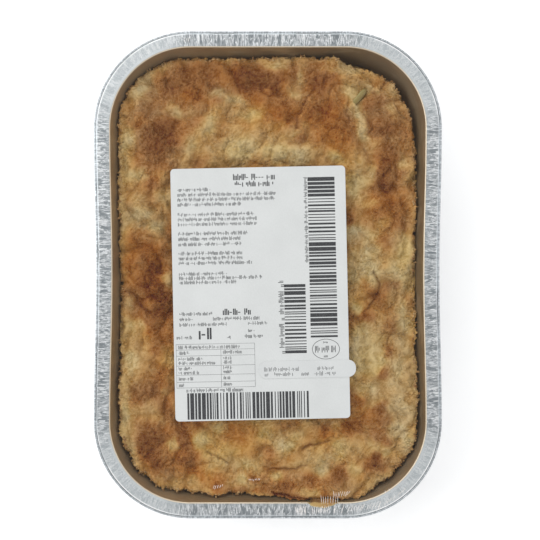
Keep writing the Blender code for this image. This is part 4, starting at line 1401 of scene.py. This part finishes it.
def paperMaterial(name, bright):
    paint = Paint(name)
    place = paint.place()
    fibre = paint.grain(paint.stretched(place, (1.0, 0.4, 1.0)), 2600, detail=3.0)
    cloud = paint.grain(place, 60, detail=2.0)
    shade = fibre * 0.5 + cloud * 0.5
    colour = paint.mix(paint.between(shade, 0.25, 0.75), tone(*bright[0]), tone(*bright[1]))
    bump = paint.bump(fibre, 0.02 * mm, 0.4)
    return paint.finish(paint.principled(Base_Color=colour, Roughness=0.55, Normal=bump))


def inkMaterial(name, dark):
    paint = Paint(name)
    wear = paint.grain(paint.place(), 3200, detail=2.0)
    colour = paint.mix(paint.between(wear, 0.35, 0.75), tone(*dark[0]), tone(*dark[1]))
    return paint.finish(paint.principled(Base_Color=colour, Roughness=0.5))


# Printed marks: each one is a small bar at (u, v) with a width and a height in mm
class Print:
    def __init__(self, seed):
        self.bars = []
        self.chance = random.Random(seed)

    def bar(self, u0, v0, u1, v1):
        self.bars.append(((u0 + u1) / 2, (v0 + v1) / 2, abs(u1 - u0), abs(v1 - v0)))

    def words(self, u0, u1, v0, v1, stroke=0.24, pitch=(1.6, 2.2)):
        # a line of plain upright ticks and dashes in groups, which spell nothing
        chance, body = self.chance, v1 - v0
        u = u0
        while u < u1 - stroke:
            for _ in range(chance.randint(4, 15)):
                if u + 2 * stroke > u1:
                    break
                if chance.random() < 0.14:
                    middle = v0 + 0.6 * body
                    self.bar(u, middle - 0.4 * stroke, u + 2 * stroke, middle + 0.4 * stroke)
                    u += 3 * stroke
                else:
                    top = v0 + body * chance.choice((0.0, 0.26, 0.26))
                    self.bar(u, top, u + stroke, v1 - body * chance.choice((0.0, 0.0, 0.3)))
                    u += stroke * chance.uniform(*pitch)
            u += stroke * 2.4

    def column(self, u0, u1, v0, v1, stroke=0.24):
        # the same, running down the label
        start = len(self.bars)
        self.words(v0, v1, 0.0, u1 - u0, stroke)
        turned = [(u0 + v, u, height, width) for u, v, width, height in self.bars[start:]]
        self.bars[start:] = turned

    def stripes(self, u0, u1, v0, v1, step, down=False):
        # bars of mixed width side by side, across the label or down it
        along0, along1 = (v0, v1) if down else (u0, u1)
        count = round((along1 - along0) / step)
        dark = True
        place = 0
        while place < count:
            heavy = math.sin(place * 0.19) + math.sin(place * 0.083 + 1.0) > 0.2
            if dark:
                width = self.chance.choice((2, 3, 3, 4) if heavy else (1, 1, 2))
            else:
                width = self.chance.choice((1, 1, 1, 2) if heavy else (1, 2, 2))
            width = min(width, count - place)
            if dark:
                start, end = along0 + place * step, along0 + (place + width) * step
                self.bar(*((u0, start, u1, end) if down else (start, v0, end, v1)))
            place += width
            dark = not dark

    def ring(self, u, v, halfU, halfV, stroke, steps=72):
        # an oval outline from short bars, each turned along it by the growth
        for i in range(steps):
            angle = 2 * math.pi * (i + 0.5) / steps
            self.bars.append(
                (u + halfU * math.cos(angle), v + halfV * math.sin(angle), stroke, stroke * 2.4, angle)
            )


def printTree():
    # stands a thin block on every point, sized and turned as its attributes say
    tree = Growth("printedMarks", {"Ink Height": "Float", "Material": "Material"})
    block = tree.node("GeometryNodeMeshCube")
    size = tree.named("markSize", "FLOAT_VECTOR")
    flat = tree.node("ShaderNodeSeparateXYZ", None, {0: size})
    sockets = {0: tree.out(flat, 0), 1: tree.out(flat, 1), 2: tree.given("Ink Height")}
    scale = tree.node("ShaderNodeCombineXYZ", None, sockets)
    turn = tree.node("ShaderNodeCombineXYZ", None, {2: tree.named("markTurn")})
    rotation = tree.node("FunctionNodeEulerToRotation", None, {0: turn})
    sockets = {"Points": tree.given(), "Instance": block, "Rotation": rotation, "Scale": scale}
    return tree.finish(tree.node("GeometryNodeInstanceOnPoints", None, sockets), smooth=False)


def makePrint(name, printed, base, material):
    points, sizes, turns = [], [], []
    for bar in printed.bars:
        u, v, width, height = bar[:4]
        x, y = onPaper(u, v)
        z = base + float(paperWave(np.array([x]), np.array([y]))[0]) + paper["inkHeight"] / 2
        points.append((float(x), float(y), z))
        sizes.append((width * mm, height * mm, 0.0))
        turns.append(paper["turn"] - (bar[4] if len(bar) > 4 else 0.0))
    mesh = meshOf(name, points)
    setAttribute(mesh, "markSize", sizes, "FLOAT_VECTOR")
    setAttribute(mesh, "markTurn", turns)
    return grow(name, printTree(), mesh, {"Ink Height": paper["inkHeight"], "Material": material})


def labelPrint():
    marks = Print(41)
    marks.words(32.2, 54.4, 3.3, 6.4, stroke=0.5, pitch=(1.35, 1.6))
    marks.words(33.0, 53.8, 6.9, 9.8, stroke=0.5, pitch=(1.35, 1.6))
    paragraphs = (
        (9.9, 2.55, (20.9, 55.2, 54.4, 36.5)),
        (22.7, 2.5, (42.8, 44.4, 44.1)),
        (32.5, 2.75, (39.6, 36.5, 36.3)),
        (42.7, 2.5, (36.6, 36.7, 41.6)),
        (53.2, 2.2, (28.7, 46.7, 33.2)),
    )
    for top, pitch, ends in paragraphs:
        for row, end in enumerate(ends):
            marks.words(3.4, end, top + row * pitch, top + row * pitch + 1.9)
    small = ((3.2, 21.1, 73.9), (3.1, 10.2, 76.6), (20.4, 45.1, 76.6), (3.1, 27.5, 79.4), (38.4, 48.9, 79.2))
    for start, end, top in small:
        marks.words(start, end, top, top + 1.8)
    marks.words(25.5, 42.2, 72.5, 75.7, stroke=0.6, pitch=(1.35, 1.6))
    marks.words(12.9, 23.5, 82.1, 88.0, stroke=0.95, pitch=(1.4, 1.6))
    marks.words(1.5, 9.7, 86.0, 87.8)
    marks.words(27.4, 29.5, 86.4, 88.1)
    marks.words(38.4, 41.7, 83.1, 84.7)
    marks.words(36.6, 46.7, 85.7, 87.8, stroke=0.3)
    rows = (90.4, 93.3, 96.4, 101.5, 106.2, 109.9, 112.8)
    for v in rows:
        marks.bar(1.1, v - 0.06, 41.5, v + 0.06)
    for u, top in ((1.1, 90.4), (41.5, 90.4), (24.1, 93.3)):
        marks.bar(u - 0.06, top, u + 0.06, 112.8)
    marks.words(2.2, 34.0, 91.0, 92.9, stroke=0.18)
    cells = (
        (94.0, 8, 35), (97.0, 15, 30), (99.2, 22, 30), (102.0, 9, 30), (104.1, 13, 30), (107.2, 10, 29),
        (110.5, 5, 30),
    )
    for top, left, right in cells:
        marks.words(2.2, left, top, top + 1.8, stroke=0.2)
        marks.words(25.2, right, top - 0.2, top + 1.6, stroke=0.2)
    marks.words(6.0, 35.9, 113.2, 115.2, stroke=0.26)
    marks.stripes(6.3, 69.4, 115.6, 129.2, 0.5)
    marks.stripes(70.5, 84.4, 5.7, 88.4, 0.5, down=True)
    marks.column(68.4, 70.2, 5.7, 49.8)
    marks.stripes(57.3, 68.3, 60.6, 96.1, 0.5, down=True)
    for v in (60.8, 61.6, 78.0, 78.8, 95.1, 95.9):
        marks.bar(55.7, v - 0.19, 57.4, v + 0.19)
    for start, end in ((58.7, 60.1), (64.2, 76.6), (80.9, 93.6)):
        marks.column(54.3, 57.0, start, end, stroke=0.32)
    marks.ring(78.2, 94.3, 7.0, 5.1, 0.24)
    marks.words(72.6, 84.0, 92.6, 96.0, stroke=0.34)
    marks.words(76.9, 79.6, 90.2, 91.3, stroke=0.16)
    marks.words(77.0, 79.4, 97.4, 98.6, stroke=0.16)
    return marks


def stickerPrint():
    marks = Print(43)
    lines = (
        (46.2, 64.2, 103.0, 105.2, 0.24), (73.6, 82.8, 103.0, 105.0, 0.24),
        (46.4, 48.7, 106.0, 107.7, 0.2), (51.4, 61.8, 105.7, 107.7, 0.32),
        (65.2, 69.4, 106.0, 107.7, 0.2), (72.0, 83.8, 105.5, 107.8, 0.34),
    )
    for start, end, top, foot, stroke in lines:
        marks.words(start, end, top, foot, stroke=stroke)
    return marks


print("making the label")
labelPaper = paperMaterial("labelPaper", ((202, 204, 203), (212, 214, 213)))
stickerPaper = paperMaterial("stickerPaper", ((200, 202, 202), (211, 213, 212)))
labelSheet = paperSheet(
    "paper_label", paper["width"], paper["length"], paper["corner"], labelCentre, labelLow.z, labelHigh.z,
    labelPaper,
)
stickerTop = stickerHigh.z - 0.2 * mm
stickerSheet = paperSheet(
    "lot_label", sticker["length"], sticker["width"], sticker["corner"], stickerCentre,
    labelHigh.z + 0.03 * mm, stickerTop, stickerPaper,
)
blackInk = inkMaterial("labelInk", ((40, 41, 43), (78, 79, 81)))
greyInk = inkMaterial("stickerInk", ((92, 93, 94), (136, 137, 138)))
labelMarks = makePrint("label_print", labelPrint(), labelHigh.z, blackInk)
stickerMarks = makePrint("sticker_print", stickerPrint(), stickerTop, greyInk)


print("setting the stage")


def makeFloor():
    mesh = meshOf("floor", [(-3, -3, 0), (3, -3, 0), (3, 3, 0), (-3, 3, 0)], [(0, 1, 2, 3)], smooth=False)
    paint = Paint("paleFloor")
    cloud = paint.grain(paint.place(), 3, detail=2.0)
    colour = paint.mix(cloud, (0.90, 0.90, 0.90), (0.93, 0.93, 0.93))
    surface = paint.principled(Base_Color=colour, Roughness=0.9, Emission_Color=(1.0, 1.0, 1.0),
                               Emission_Strength=0.25)
    return addObject("floor", mesh, paint.finish(surface))


def makeLight(name, place, width, height, power):
    data = bpy.data.lights.new(name, "AREA")
    data.shape = "RECTANGLE"
    data.size, data.size_y = width, height
    data.energy = power
    made = bpy.data.objects.new(name, data)
    made.location = place
    made.rotation_euler = (Vector((0, 0, 0.02)) - Vector(place)).to_track_quat("-Z", "Y").to_euler()
    bpy.context.scene.collection.objects.link(made)


studio = {
    "cameraHeight": 0.420,
    "cameraShift": (1.1 * mm, 2.5 * mm),
    "halfView": 139.3 * mm,
    "worldStrength": 0.50,
    "panelPower": 6.3,
}
# Light panels: name, place, width and height in m, share of the power
panels = (
    ("panelLeft", (-1.1, 0.2, 0.9), 0.9, 1.1, 1.5),
    ("panelRight", (1.1, 0.1, 1.0), 1.0, 1.2, 0.7),
    ("panelBack", (-0.2, 1.2, 1.0), 1.3, 0.9, 1.3),
    ("panelFront", (0.0, -1.2, 1.1), 1.4, 0.9, 0.6),
)


def makeStudio():
    scene = bpy.context.scene
    world = bpy.data.worlds.new("studio")
    world.use_nodes = True
    background = world.node_tree.nodes["Background"]
    background.inputs["Color"].default_value = (0.98, 0.99, 1.0, 1.0)
    background.inputs["Strength"].default_value = studio["worldStrength"]
    scene.world = world
    for name, place, width, height, share in panels:
        makeLight(name, place, width, height, studio["panelPower"] * share)
    camera = bpy.data.objects.new("camera", bpy.data.cameras.new("camera"))
    shiftX, shiftY = studio["cameraShift"]
    camera.location = (shiftX, shiftY, foilTray["height"] + studio["cameraHeight"])
    camera.data.angle = 2 * math.atan(studio["halfView"] / studio["cameraHeight"])
    camera.data.clip_start = 0.01
    scene.collection.objects.link(camera)
    scene.camera = camera
    scene.view_settings.view_transform = "Standard"


floor = makeFloor()
makeStudio()

pieces = (
    (tray, "tray", "foil"), (gratin, "gratin", "crust"), (slicePiece, "potato_slice", "potato"),
    (clearFilm, "lid_film", "film"), (labelSheet, "label", "label_paper"),
    (stickerSheet, "lot_sticker", "sticker_paper"), (labelMarks, None, "label_paper"),
    (stickerMarks, None, "sticker_paper"), (crustCrumbs, None, "crust"), (sauceLeak, None, "crust"),
    (filmGlints, None, "film"),
)
for piece, node, slot in pieces:
    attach(piece, "root")
    if node:
        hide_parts(node)
